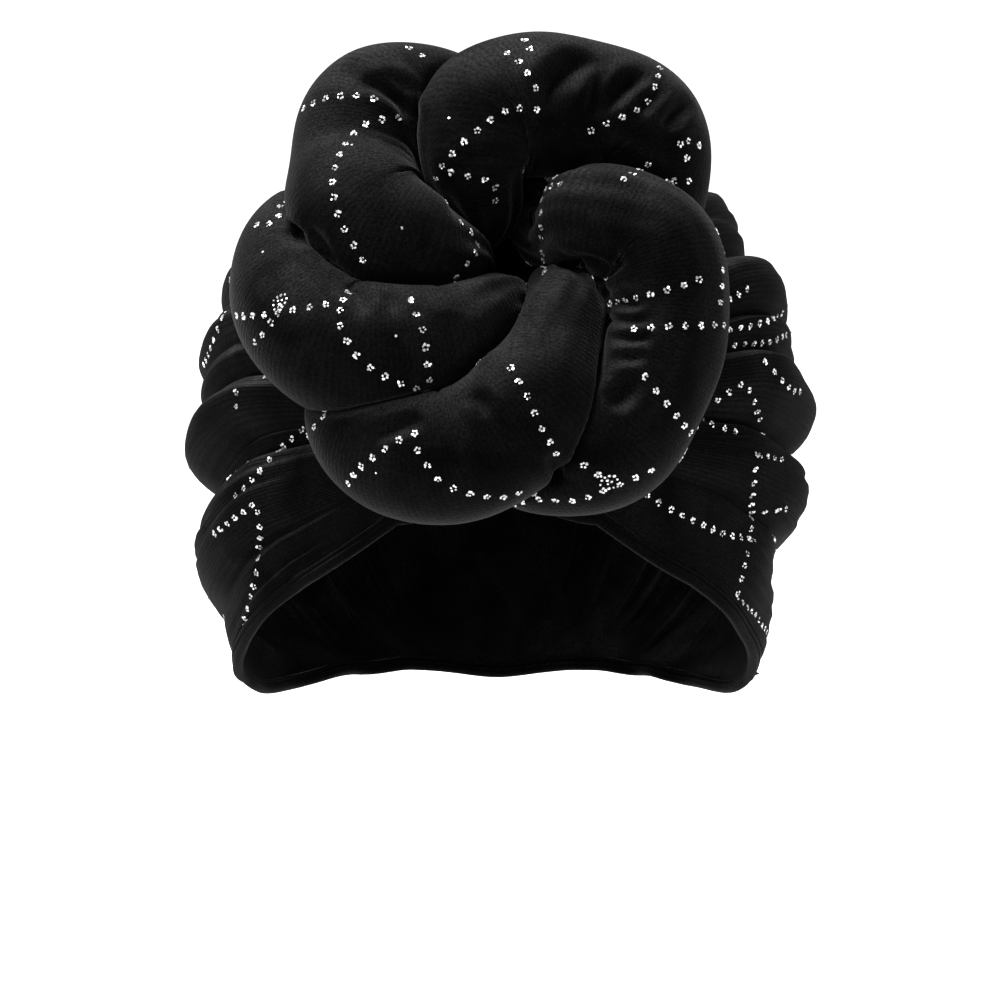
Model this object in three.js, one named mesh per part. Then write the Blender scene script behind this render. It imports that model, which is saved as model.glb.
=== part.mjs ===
// Turban headwrap: a velvet cap, gathered at the front into folds that fan out over both sides,
// its turned hem, and a stuffed velvet roll knotted into a five-lobed rosette over the gather.
//
// Units are millimetres and +Z is up. The arched front edge and the rosette face -Y. The origin is
// in the middle of the cap's opening, a little above the two tips of the front edge.

import * as THREE from 'three';

// Driving sizes

// The smooth form that the folds stand on. front, back and halfWidth are measured from the origin,
// widest is the height of the widest level, rise and drop go up and down from that level.
const CROWN = { halfWidth: 88.6, front: 86, back: 104, widest: 58, rise: 108, drop: 100, wall: 2.2 };
const FULLNESS = 2.4;

// The fan of cloth. The hub is the point inside the cap that fan angles and reaches are seen from.
// The gather is where the cloth is drawn together, at this height on the front of the cap.
const FAN = { hubBack: 4, hubHeight: 20, gatherHeight: 97 };
// Reaches are angles at the hub in degrees: of the gather's rim, of the front edge's two tips and of
// the nape, where the folds are full grown, begin to fade and are gone, and how far from the lower
// edge they die out.
const REACH = { gather: 9, tip: 95, nape: 164, full: 58, fade: 98, flat: 150, edge: 14 };
const NAPE_ROUNDNESS = 0.54;

// The height of the tallest fold, how far folds wander sideways in degrees and how often, and the
// shape of a fold's section: a higher edge is flatter on top, a higher side is steeper below.
const FOLD_HEIGHT = 10;
const SWAY = { turn: 2.4, often: 2.1 };
// Behind the tips the folds run level instead of down: by how many degrees at most, between
// which reaches this comes in, and between which it goes again.
const LEVEL = { turn: 8, start: 62, full: 96, ease: 104, end: 150 };
const FOLD_SECTION = { edge: 2.2, side: 0.7 };

const HEM = { width: 4.2, thickness: 3.2, gap: 0.3 };
// The hem's section: shares of its width outwards and of half its thickness across
const HEM_SECTION = [
  { out: 0, lift: -0.8 },
  { out: 0.12, lift: -1 },
  { out: 0.85, lift: -1 },
  { out: 1, lift: -0.6 },
  { out: 1, lift: 0.6 },
  { out: 0.85, lift: 1 },
  { out: 0.12, lift: 1 },
  { out: 0, lift: 0.8 },
];

// The rosette: radius of the roll's centre line at the rim, the roll's radius there, how far a
// pass rises or dips, how far the rosette leans back and stands above the gather, and how far it
// presses into the cap.
const KNOT = { ring: 57, roll: 20.5, rise: 12, lean: 30, above: 35, press: 11.5, aside: 2, gap: 0.3 };
const KNOT_BACK = 28;
// The slit between two passes that press together, how much of a bend's own radius the roll may
// fill, and how far along, in roll radii, another pass counts as one.
const ROLL_GAP = 0.5;
const BEND_FILL = 0.82;
const PASS_APART = 2.1;

const VELVET = new THREE.MeshStandardMaterial({ color: 0x0b0b0d, roughness: 0.85, metalness: 0 });
const HEM_VELVET = new THREE.MeshStandardMaterial({ color: 0x08080a, roughness: 0.9, metalness: 0 });
const ROLL_VELVET = new THREE.MeshStandardMaterial({ color: 0x0d0d10, roughness: 0.8, metalness: 0 });

// Tables

// The fan's half spread in degrees at some reaches in degrees: it is wide round the gather and
// narrows to the line of the front edge.
const SPREAD = [
  { reach: 9, spread: 146 },
  { reach: 20, spread: 121 },
  { reach: 42, spread: 112 },
  { reach: 70, spread: 106.5 },
  { reach: 95, spread: 101.5 },
  { reach: 170, spread: 101.5 },
];

// One row a fold, from the top of the cap down each side: the fan angle of its ridge and of the
// hollow below it in degrees, and their heights as shares of FOLD_HEIGHT.
const LEFT_FOLDS = [
  { ridge: 9, lift: 0.5, hollow: 18, sink: -0.05 },
  { ridge: 28, lift: 0.55, hollow: 36.5, sink: -0.05 },
  { ridge: 40.8, lift: 0.7, hollow: 44.2, sink: -0.15 },
  { ridge: 51, lift: 0.7, hollow: 53.6, sink: 0.45 },
  { ridge: 55.8, lift: 0.48, hollow: 58.8, sink: -0.3 },
  { ridge: 64.3, lift: 0.8, hollow: 69.6, sink: -0.35 },
  { ridge: 71, lift: -0.28, hollow: 73.5, sink: -0.4 },
  { ridge: 82.5, lift: 0.5, hollow: 91, sink: -0.1 },
];
const RIGHT_FOLDS = [
  { ridge: 8, lift: 0.5, hollow: 16, sink: 0 },
  { ridge: 21.5, lift: 0.5, hollow: 25.5, sink: 0.15 },
  { ridge: 31, lift: 0.8, hollow: 38.7, sink: -0.05 },
  { ridge: 45.6, lift: 1.05, hollow: 49.8, sink: 0.68 },
  { ridge: 52.2, lift: 0.8, hollow: 55.4, sink: 0.35 },
  { ridge: 61, lift: 1.08, hollow: 67.6, sink: -0.12 },
  { ridge: 75.8, lift: 0.6, hollow: 81.6, sink: -0.28 },
];

// The stations of the roll in the order that it runs: the turn round the rosette in degrees, the
// distance from its middle as a share of KNOT.ring, the rise towards the front as a share of
// KNOT.rise, and the roll's radius as a share of KNOT.roll. Each lobe comes out from under its
// neighbour, swings round the rim, passes over the next lobe and dives at the middle.
const ROLL = [
  { turn: 106, ring: 0.945, rise: -0.6, roll: 0.87 },
  { turn: 124, ring: 1.055, rise: -0.1, roll: 1 },
  { turn: 145, ring: 0.89, rise: 0.35, roll: 1 },
  { turn: 163, ring: 0.71, rise: 0.9, roll: 1 },
  { turn: 172, ring: 0.42, rise: 0.85, roll: 0.84 },
  { turn: 160, ring: 0.24, rise: -0.1, roll: 0.5 },
  { turn: 215, ring: 0.49, rise: -1.55, roll: 0.5 },

  { turn: 221, ring: 0.9, rise: -0.65, roll: 0.84 },
  { turn: 240, ring: 1, rise: 0.1, roll: 1 },
  { turn: 258, ring: 0.95, rise: 0.6, roll: 1 },
  { turn: 280, ring: 0.74, rise: 0.95, roll: 0.95 },
  { turn: 314, ring: 0.39, rise: 0.4, roll: 0.7 },
  { turn: 350, ring: 0.3, rise: -0.6, roll: 0.53 },
  { turn: 378, ring: 0.54, rise: -1.55, roll: 0.5 },

  { turn: 391, ring: 0.8, rise: -0.65, roll: 0.86 },
  { turn: 410, ring: 1, rise: 0, roll: 1 },
  { turn: 430, ring: 0.93, rise: 0.45, roll: 1.01 },
  { turn: 456, ring: 0.8, rise: 0.9, roll: 0.94 },
  { turn: 465, ring: 0.58, rise: 0.9, roll: 0.79 },
  { turn: 468, ring: 0.41, rise: -0.2, roll: 0.52 },
  { turn: 510, ring: 0.53, rise: -1.55, roll: 0.5 },

  { turn: 524, ring: 0.94, rise: -0.7, roll: 0.87 },
  { turn: 546, ring: 1, rise: 0.1, roll: 1 },
  { turn: 569, ring: 0.88, rise: 0.8, roll: 1 },
  { turn: 592, ring: 0.53, rise: 0.9, roll: 0.9 },
  { turn: 635, ring: 0.23, rise: 0.1, roll: 0.56 },
  { turn: 638, ring: 0.56, rise: -1.55, roll: 0.5 },

  { turn: 640, ring: 0.86, rise: -0.75, roll: 0.84 },
  { turn: 664, ring: 0.96, rise: 0.1, roll: 0.96 },
  { turn: 697, ring: 0.87, rise: 0.7, roll: 0.82 },
  { turn: 727, ring: 0.75, rise: 1, roll: 0.82 },
  { turn: 750, ring: 0.51, rise: 0.8, roll: 0.73 },
  { turn: 762, ring: 0.39, rise: -0.5, roll: 0.52 },
  { turn: 804, ring: 0.56, rise: -1.55, roll: 0.5 },
];

// How finely the faceted solids are cut, and the step in degrees that slopes are read over
const SLOPE_STEP = 0.6;
const REACH_STEPS = 15;
const FOLD_STEPS = 2;
const EDGE_STEPS = 4;
const EDGE_CROWDING = 1.6;
const ROLL_STEPS = 118;
const ROLL_SIDES = 16;

const rad = THREE.MathUtils.degToRad;
const { clamp, lerp, smoothstep } = THREE.MathUtils;
const AHEAD = new THREE.Vector3(0, -1, 0);
const UP = new THREE.Vector3(0, 0, 1);
const ACROSS = new THREE.Vector3(1, 0, 0);

// The value of one column at a given place, read between the rows of a table
function readTable(table, placeColumn, valueColumn, place) {
  const last = table.length - 1;
  let row = 0;
  while (row < last - 1 && table[row + 1][placeColumn] < place) row += 1;
  const low = table[row];
  const high = table[row + 1];
  const share = clamp((place - low[placeColumn]) / (high[placeColumn] - low[placeColumn]), 0, 1);
  return lerp(low[valueColumn], high[valueColumn], share);
}

// The cap's smooth form: 1 on its surface, less inside
function crownMeasure(point) {
  const depth = point.y < 0 ? CROWN.front : CROWN.back;
  const height = point.z > CROWN.widest ? CROWN.rise : CROWN.drop;
  const plan = (point.x / CROWN.halfWidth) ** 2 + (point.y / depth) ** 2;
  return plan ** (FULLNESS / 2) + Math.abs((point.z - CROWN.widest) / height) ** FULLNESS;
}

// Where a straight line from a point inside the cap meets the smooth form
function meetCrown(from, direction) {
  let near = 0;
  let far = 3 * Math.max(CROWN.halfWidth, CROWN.front, CROWN.back, CROWN.rise, CROWN.drop);
  const point = new THREE.Vector3();
  for (let halving = 0; halving < 50; halving += 1) {
    const middle = (near + far) / 2;
    point.copy(from).addScaledVector(direction, middle);
    if (crownMeasure(point) < 1) near = middle;
    else far = middle;
  }
  return point;
}

const hub = new THREE.Vector3(0, FAN.hubBack, FAN.hubHeight);
const gatherPoint = meetCrown(new THREE.Vector3(0, 0, FAN.gatherHeight), AHEAD);
const fanAxis = gatherPoint.clone().sub(hub).normalize();
const fanUp = UP.clone().addScaledVector(fanAxis, -UP.dot(fanAxis)).normalize();

// The rosette's own directions: out along its front and up across its face
const knotOut = new THREE.Vector3(0, -Math.cos(rad(KNOT.lean)), Math.sin(rad(KNOT.lean)));
const knotUp = new THREE.Vector3(0, Math.sin(rad(KNOT.lean)), Math.cos(rad(KNOT.lean)));

// How far the smooth form reaches along the rosette's front, which sets where the rosette sits
function crownSupport(direction) {
  let furthest = 0;
  for (let tilt = -90; tilt <= 90; tilt += 1) {
    const ray = new THREE.Vector3(0, -Math.cos(rad(tilt)), Math.sin(rad(tilt)));
    furthest = Math.max(furthest, meetCrown(hub, ray).dot(direction));
  }
  return furthest;
}

const seatDepth = crownSupport(knotOut) - KNOT.press;
const knotCentre = knotOut
  .clone()
  .multiplyScalar(seatDepth + KNOT.gap + KNOT_BACK)
  .addScaledVector(knotUp, gatherPoint.dot(knotUp) + KNOT.above)
  .addScaledVector(ACROSS, KNOT.aside);

// The crown

const edgeSpread = readTable(SPREAD, 'reach', 'spread', REACH.tip);

// How far the folds stand up: nothing at the gather and the lower edge, most at the sides
function foldStrength(fan, reach) {
  const grow = smoothstep(reach, REACH.gather, REACH.full);
  const fade = 1 - smoothstep(reach, REACH.fade, REACH.flat);
  const free = smoothstep(reachOfColumn(fan) - reach, 0, REACH.edge);
  return grow * fade * free;
}

// The height of the folds over the smooth form on one side of the cap
function foldHeight(folds, fan) {
  let above = { hollow: 0, sink: 0 };
  for (const fold of folds) {
    if (fan <= fold.hollow) {
      const valley = fan < fold.ridge ? above : fold;
      const away = (fan - fold.ridge) / (valley.hollow - fold.ridge);
      const rounded = (1 - clamp(away, 0, 1) ** FOLD_SECTION.edge) ** FOLD_SECTION.side;
      return FOLD_HEIGHT * lerp(valley.sink, fold.lift, rounded);
    }
    above = fold;
  }
  return FOLD_HEIGHT * above.sink * (1 - smoothstep(fan, above.hollow, edgeSpread));
}

// The fan angles that the columns of the crown follow on one side, from the top to the edge
function columnFans(folds) {
  const marks = [0];
  for (const fold of folds) marks.push(fold.ridge, fold.hollow);
  const fans = [];
  for (let mark = 1; mark < marks.length; mark += 1) {
    for (let step = 0; step < FOLD_STEPS; step += 1) {
      fans.push(lerp(marks[mark - 1], marks[mark], step / FOLD_STEPS));
    }
  }
  const lastMark = marks[marks.length - 1];
  for (let step = 0; step <= EDGE_STEPS; step += 1) {
    const still = 1 - step / EDGE_STEPS;
    fans.push(lerp(edgeSpread, lastMark, still ** EDGE_CROWDING));
  }
  return fans;
}

// How far round the cap a column reaches before it meets the lower edge
function reachOfColumn(fan) {
  const share = Math.max(0, 1 - (fan / edgeSpread) ** 2) ** NAPE_ROUNDNESS;
  return lerp(REACH.tip, REACH.nape, share);
}

// A point of the cap's outer face. The cloth is pressed flat where the rosette sits on it.
function crownPoint(fan, reach) {
  const folds = fan < 0 ? LEFT_FOLDS : RIGHT_FOLDS;
  const strength = foldStrength(Math.abs(fan), reach);
  const spread = readTable(SPREAD, 'reach', 'spread', reach) / edgeSpread;
  const swing = SWAY.turn * strength * Math.sin(rad(reach * SWAY.often + fan));
  const level = LEVEL.turn * smoothstep(reach, LEVEL.start, LEVEL.full)
    * (1 - smoothstep(reach, LEVEL.ease, LEVEL.end));
  const angle = rad(fan * spread + (swing - level) * Math.sin((Math.PI * fan) / edgeSpread));
  const outward = fanUp.clone().multiplyScalar(Math.cos(angle)).addScaledVector(ACROSS, Math.sin(angle));
  const ray = fanAxis.clone().multiplyScalar(Math.cos(rad(reach)));
  ray.addScaledVector(outward, Math.sin(rad(reach)));
  const point = meetCrown(hub, ray);
  point.addScaledVector(ray, foldHeight(folds, Math.abs(fan)) * strength);
  point.addScaledVector(knotOut, Math.min(0, seatDepth - point.dot(knotOut)));
  return point;
}

const leftFans = columnFans(LEFT_FOLDS).map((fan) => -fan).reverse();
const crownFans = [...leftFans.slice(0, -1), ...columnFans(RIGHT_FOLDS)];
const crownPlaces = crownFans.map((fan) => {
  const end = reachOfColumn(Math.abs(fan));
  const column = [];
  for (let step = 0; step <= REACH_STEPS; step += 1) {
    column.push({ fan, reach: lerp(REACH.gather, end, step / REACH_STEPS) });
  }
  return column;
});
const crownGrid = crownPlaces.map((column) =>
  column.map((place) => crownPoint(place.fan, place.reach)));

// The cap's outward direction at a point, from the slope of its face either side of it
function crownNormal(fan, reach) {
  const along = crownPoint(fan, reach + SLOPE_STEP).sub(crownPoint(fan, reach - SLOPE_STEP));
  const sideways = crownPoint(fan + SLOPE_STEP, reach).sub(crownPoint(fan - SLOPE_STEP, reach));
  return sideways.cross(along).normalize();
}

const crownNormals = crownPlaces.map((column) =>
  column.map((place) => crownNormal(place.fan, place.reach)));

// Turns lists of corner points and faces into a mesh
function solidMesh(name, points, faces, material) {
  const geometry = new THREE.BufferGeometry();
  const positions = new Float32Array(points.flatMap((point) => [point.x, point.y, point.z]));
  geometry.setAttribute('position', new THREE.BufferAttribute(positions, 3));
  geometry.setIndex(faces.flat());
  geometry.computeVertexNormals();
  const mesh = new THREE.Mesh(geometry, material);
  mesh.name = name;
  return mesh;
}

function makeCrown() {
  const columns = crownGrid.length;
  const rows = REACH_STEPS + 1;
  const outer = crownGrid.flat();
  const normals = crownNormals.flat();
  const inner = outer.map((point, i) => point.clone().addScaledVector(normals[i], -CROWN.wall));
  const middleOf = (layer) => {
    const sum = new THREE.Vector3();
    for (let c = 0; c < columns; c += 1) sum.add(layer[c * rows]);
    return sum.divideScalar(columns);
  };
  const points = [...outer, ...inner, middleOf(outer), middleOf(inner)];
  const inside = outer.length;
  const outerMiddle = 2 * inside;
  const innerMiddle = outerMiddle + 1;
  const faces = [];
  const quad = (a, b, c, d) => faces.push([a, b, c], [a, c, d]);
  for (let c = 0; c < columns - 1; c += 1) {
    for (let r = 0; r < rows - 1; r += 1) {
      const here = c * rows + r;
      const beside = here + rows;
      quad(here, beside, beside + 1, here + 1);
      quad(inside + here, inside + here + 1, inside + beside + 1, inside + beside);
    }
  }
  // The gathered middle is drawn shut on both faces
  for (let c = 0; c < columns; c += 1) {
    const here = c * rows;
    const beside = ((c + 1) % columns) * rows;
    faces.push([outerMiddle, beside, here], [innerMiddle, inside + here, inside + beside]);
  }
  // The wall's edge, all the way round
  const rim = rimOrder(columns, rows);
  rim.forEach((here, k) => {
    const next = rim[(k + 1) % rim.length];
    quad(here, next, inside + next, inside + here);
  });
  return solidMesh('crown', points, faces, VELVET);
}

// The grid's edge in order: down the left front, round the nape and up the right front
function rimOrder(columns, rows) {
  const rim = [];
  for (let r = 0; r < rows; r += 1) rim.push(r);
  for (let c = 1; c < columns; c += 1) rim.push(c * rows + rows - 1);
  for (let r = rows - 2; r >= 0; r -= 1) rim.push((columns - 1) * rows + r);
  return rim;
}

// The hem, a closed band that continues the crown's edge

function makeHem() {
  const points = crownGrid.flat();
  const normals = crownNormals.flat();
  const rim = rimOrder(crownGrid.length, REACH_STEPS + 1);
  const count = rim.length;
  const centre = rim.map((i) => points[i].clone().addScaledVector(normals[i], -CROWN.wall / 2));
  const halfThick = HEM.thickness / 2;
  const corners = [];
  rim.forEach((i, k) => {
    const along = centre[(k + 1) % count].clone().sub(centre[(k + count - 1) % count]).normalize();
    const outward = normals[i].clone().cross(along).normalize();
    const lift = along.clone().cross(outward).normalize();
    for (const corner of HEM_SECTION) {
      const point = centre[k].clone();
      point.addScaledVector(outward, HEM.gap + corner.out * HEM.width);
      point.addScaledVector(lift, corner.lift * halfThick);
      corners.push(point);
    }
  });
  return solidMesh('front_hem', corners, loopFaces(count, HEM_SECTION.length), HEM_VELVET);
}

// The faces of a closed loop of closed sections
function loopFaces(sections, sides) {
  const faces = [];
  for (let k = 0; k < sections; k += 1) {
    const next = (k + 1) % sections;
    for (let side = 0; side < sides; side += 1) {
      const beside = (side + 1) % sides;
      const a = k * sides + side;
      const b = k * sides + beside;
      const c = next * sides + beside;
      const d = next * sides + side;
      faces.push([a, b, c], [a, c, d]);
    }
  }
  return faces;
}

// The stuffed roll

// The roll's stations in the rosette's own directions: across, up and out from its middle
function rollStations() {
  return ROLL.map((station) => {
    const ring = station.ring * KNOT.ring;
    return {
      place: new THREE.Vector3(
        ring * Math.cos(rad(station.turn)),
        ring * Math.sin(rad(station.turn)),
        station.rise * KNOT.rise,
      ),
      roll: station.roll * KNOT.roll,
    };
  });
}

// Evenly spaced samples of the roll's centre line, each with its radius and its own directions
function rollSamples(count) {
  const stations = rollStations();
  const line = new THREE.CatmullRomCurve3(stations.map((s) => s.place), true, 'centripetal');
  line.arcLengthDivisions = 1200;
  const radii = new THREE.CatmullRomCurve3(
    stations.map((s) => new THREE.Vector3(s.roll, 0, 0)), true, 'catmullrom', 0.5);
  const frames = line.computeFrenetFrames(count, true);
  const samples = [];
  for (let k = 0; k < count; k += 1) {
    const share = line.getUtoTmapping(k / count);
    samples.push({
      place: line.getPoint(share),
      roll: radii.getPoint(share).x,
      along: frames.tangents[k],
      first: frames.normals[k],
      second: frames.binormals[k],
    });
  }
  return { samples, length: line.getLength() };
}

// How far the roll's skin reaches in one direction from a sample of its centre line. It stops
// where it would press against another pass of the roll, against the cap, or into its own bend.
function skinReach(samples, spacing, k, direction) {
  const own = samples[k];
  const bend = samples[(k + 1) % samples.length].along.clone()
    .sub(samples[(k + samples.length - 1) % samples.length].along)
    .divideScalar(2 * spacing);
  const inward = Math.max(0, bend.dot(direction));
  let limit = inward > 0 ? Math.min(own.roll, BEND_FILL / inward) : own.roll;
  if (direction.z < 0) limit = Math.min(limit, (KNOT_BACK + own.place.z) / -direction.z);
  let near = 0;
  let far = limit;
  const tip = new THREE.Vector3();
  const pressed = (reach) => {
    tip.copy(own.place).addScaledVector(direction, reach);
    const mine = reach / own.roll;
    return samples.some((other, m) => {
      const steps = Math.min(Math.abs(m - k), samples.length - Math.abs(m - k));
      if (steps * spacing < PASS_APART * own.roll) return false;
      return (tip.distanceTo(other.place) - ROLL_GAP) / other.roll < mine;
    });
  };
  if (!pressed(limit)) return limit;
  for (let halving = 0; halving < 14; halving += 1) {
    const middle = (near + far) / 2;
    if (pressed(middle)) far = middle;
    else near = middle;
  }
  return near;
}

function makeRoll() {
  const { samples, length } = rollSamples(ROLL_STEPS);
  const spacing = length / ROLL_STEPS;
  const corners = [];
  samples.forEach((sample, k) => {
    for (let side = 0; side < ROLL_SIDES; side += 1) {
      const angle = (2 * Math.PI * side) / ROLL_SIDES;
      const direction = sample.first.clone().multiplyScalar(Math.cos(angle));
      direction.addScaledVector(sample.second, Math.sin(angle));
      const reach = skinReach(samples, spacing, k, direction);
      const skin = sample.place.clone().addScaledVector(direction, reach);
      const point = knotCentre.clone();
      point.addScaledVector(ACROSS, skin.x);
      point.addScaledVector(knotUp, skin.y);
      point.addScaledVector(knotOut, skin.z);
      corners.push(point);
    }
  });
  return solidMesh('knot_roll', corners, loopFaces(ROLL_STEPS, ROLL_SIDES), ROLL_VELVET);
}

const headwrap = new THREE.Group();
headwrap.add(makeCrown(), makeHem(), makeRoll());

export default headwrap;
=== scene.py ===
"""Turban headwrap in black glitter velvet.

A velvet cap is gathered at the front into folds that fan out over both sides, a turned hem runs
round its edge, and a stuffed velvet roll is knotted into a five-lobed rosette over the gather.
Rows of small silver dots are printed on the velvet.

Sizes are in millimetres in the frame of the part: +Z is up, the arched front edge faces -Y, and the
origin is in the middle of the cap's opening. Meshes are written in metres.
"""

from __future__ import annotations

import logging
import math
from dataclasses import dataclass, field
from enum import Enum

import bpy
import numpy as np
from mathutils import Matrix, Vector
from mathutils.bvhtree import BVHTree

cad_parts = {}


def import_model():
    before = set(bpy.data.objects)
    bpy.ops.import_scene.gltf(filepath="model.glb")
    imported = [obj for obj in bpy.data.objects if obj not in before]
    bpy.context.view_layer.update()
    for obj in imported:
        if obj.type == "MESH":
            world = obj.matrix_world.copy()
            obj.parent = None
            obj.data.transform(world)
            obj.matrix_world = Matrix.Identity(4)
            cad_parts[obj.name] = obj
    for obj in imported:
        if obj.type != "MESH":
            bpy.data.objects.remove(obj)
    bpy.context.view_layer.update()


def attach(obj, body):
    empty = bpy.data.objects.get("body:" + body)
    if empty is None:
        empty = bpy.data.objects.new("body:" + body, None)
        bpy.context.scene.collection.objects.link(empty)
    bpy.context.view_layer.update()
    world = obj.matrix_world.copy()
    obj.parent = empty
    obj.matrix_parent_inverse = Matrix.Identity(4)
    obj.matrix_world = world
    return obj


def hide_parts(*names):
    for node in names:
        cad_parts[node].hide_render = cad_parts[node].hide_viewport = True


LOG = logging.getLogger("headwrap")
MM = 0.001
FAR = 1000.0
# Millimetres in one unit of the cloth's own map
MAP_UNIT = 10.0
CAP_SEED = 71
ROLL_SEED = 72

Place = tuple[float, float, float]
Marks = tuple[float, float, float, float]
Table = tuple[tuple[float, ...], ...]
Pixels = tuple[tuple[float, float], ...]
Dots = list[tuple[np.ndarray, np.ndarray]]
Span = tuple[float, float]
Colour = tuple[float, float, float, float]
Socket = bpy.types.NodeSocket


class Side(Enum):
    """The side of the cap, with the sign of its fan angles and of its X."""

    LEFT = -1
    RIGHT = 1


class PrintForm(Enum):
    """How one dot of the print is built: the number of specks round it."""

    DOT = 5
    STRAY = 1
    FLOWER = 13


def smoothstep(value: np.ndarray, low: float, high: float) -> np.ndarray:
    """Ease from 0 at low to 1 at high.

    Args:
        value: The numbers to ease.
        low: Where the ramp starts.
        high: Where the ramp ends.

    Returns:
        The eased numbers, from 0 to 1.
    """
    share = np.clip((value - low) / (high - low), 0.0, 1.0)
    return share * share * (3.0 - 2.0 * share)


def window(value: np.ndarray, marks: Marks) -> np.ndarray:
    """Ease up from the first mark to the second and down from the third to the fourth.

    Args:
        value: The numbers to ease.
        marks: The four marks.

    Returns:
        The eased numbers, from 0 to 1.
    """
    return smoothstep(value, marks[0], marks[1]) * (1.0 - smoothstep(value, marks[2], marks[3]))


def unit(vectors: np.ndarray) -> np.ndarray:
    """Scale each vector to a length of 1."""
    return vectors / np.maximum(np.linalg.norm(vectors, axis=-1, keepdims=True), 1e-9)


@dataclass(frozen=True)
class Ripple:
    """A smooth uneven line: a few sine waves of odd lengths.

    The lowest and highest frequency are in turns for each unit of length or angle.
    """

    seed: int
    waves: int
    low: float
    high: float
    unit: float = 1.0

    def at(self, place: np.ndarray) -> np.ndarray:
        """Read the line.

        Args:
            place: Where to read it.

        Returns:
            The heights there, about -1 to 1.
        """
        random = np.random.default_rng(self.seed)
        total = np.zeros_like(place, dtype=float)
        often = np.linspace(self.low, self.high, self.waves)
        for turns in often * random.uniform(0.85, 1.15, self.waves):
            total += np.sin(2.0 * math.pi * (turns * place / self.unit + random.random()))
        return total / math.sqrt(self.waves)


def closed_line(points: np.ndarray, steps: int) -> np.ndarray:
    """Draw a smooth closed line through points, with knots spaced by the root of their distance.

    Args:
        points: The points that the line passes through.
        steps: How many places are read between two points.

    Returns:
        The places along the line, in order.
    """
    before, start, end, after = (np.roll(points, shift, axis=0) for shift in (1, 0, -1, -2))
    gap0 = np.sqrt(np.linalg.norm(start - before, axis=1))[:, None]
    gap1 = np.sqrt(np.linalg.norm(end - start, axis=1))[:, None]
    gap2 = np.sqrt(np.linalg.norm(after - end, axis=1))[:, None]
    leave = (start - before) / gap0 - (end - before) / (gap0 + gap1) + (end - start) / gap1
    arrive = (end - start) / gap1 - (after - start) / (gap1 + gap2) + (after - end) / gap2
    return hermite(start, end, leave * gap1, arrive * gap1, steps)


def closed_values(values: np.ndarray, steps: int) -> np.ndarray:
    """Draw a smooth closed run of numbers through given ones, read at even steps.

    Args:
        values: The given numbers.
        steps: How many numbers are read between two of them.

    Returns:
        The numbers along the run, in order.
    """
    before, start, end, after = (np.roll(values, shift) for shift in (1, 0, -1, -2))
    columns = (start, end, 0.5 * (end - before), 0.5 * (after - start))
    return hermite(*(column[:, None] for column in columns), steps)[:, 0]


def hermite(
    start: np.ndarray, end: np.ndarray, leave: np.ndarray, arrive: np.ndarray, steps: int
) -> np.ndarray:
    """Fill spans with cubic curves.

    Args:
        start: Where each span starts.
        end: Where each span ends.
        leave: The slope at each start.
        arrive: The slope at each end.
        steps: How many places are read in a span.

    Returns:
        The places of all spans in order, without the last end.
    """
    share = (np.arange(steps) / steps)[None, :, None]
    start, end, leave, arrive = (column[:, None, :] for column in (start, end, leave, arrive))
    square = 3.0 * (end - start) - 2.0 * leave - arrive
    cube = 2.0 * (start - end) + leave + arrive
    places = start + share * (leave + share * (square + share * cube))
    return places.reshape(-1, places.shape[-1])


def deselect_all() -> None:
    """Leave edit mode and clear the selection."""
    if bpy.context.object and bpy.context.object.mode != "OBJECT":
        bpy.ops.object.mode_set(mode="OBJECT")
    bpy.ops.object.select_all(action="DESELECT")


def take(piece: bpy.types.Object) -> None:
    """Make a piece the only selected and the active object.

    Args:
        piece: The piece.
    """
    deselect_all()
    piece.select_set(True)
    bpy.context.view_layer.objects.active = piece


def place_vertices(piece: bpy.types.Object, places: np.ndarray) -> None:
    """Move the vertices of a mesh to places in millimetres."""
    piece.data.vertices.foreach_set("co", (places * MM).astype(np.float32).ravel())
    piece.data.update()


def mesh_piece(name: str, places: np.ndarray, faces: list[tuple[int, ...]]) -> bpy.types.Object:
    """Make an object at the origin from corner places in millimetres.

    Args:
        name: The piece's name.
        places: The corners.
        faces: The corner numbers of each face.

    Returns:
        The new object.
    """
    mesh = bpy.data.meshes.new(name)
    mesh.from_pydata((places * MM).tolist(), [], faces)
    mesh.validate()
    piece = bpy.data.objects.new(name, mesh)
    bpy.context.scene.collection.objects.link(piece)
    return piece


def smooth_shade(piece: bpy.types.Object, angle: float = 60.0) -> None:
    """Shade a piece smoothly, but keep edges sharper than an angle in degrees."""
    take(piece)
    bpy.ops.object.shade_smooth_by_angle(angle=math.radians(angle))


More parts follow.
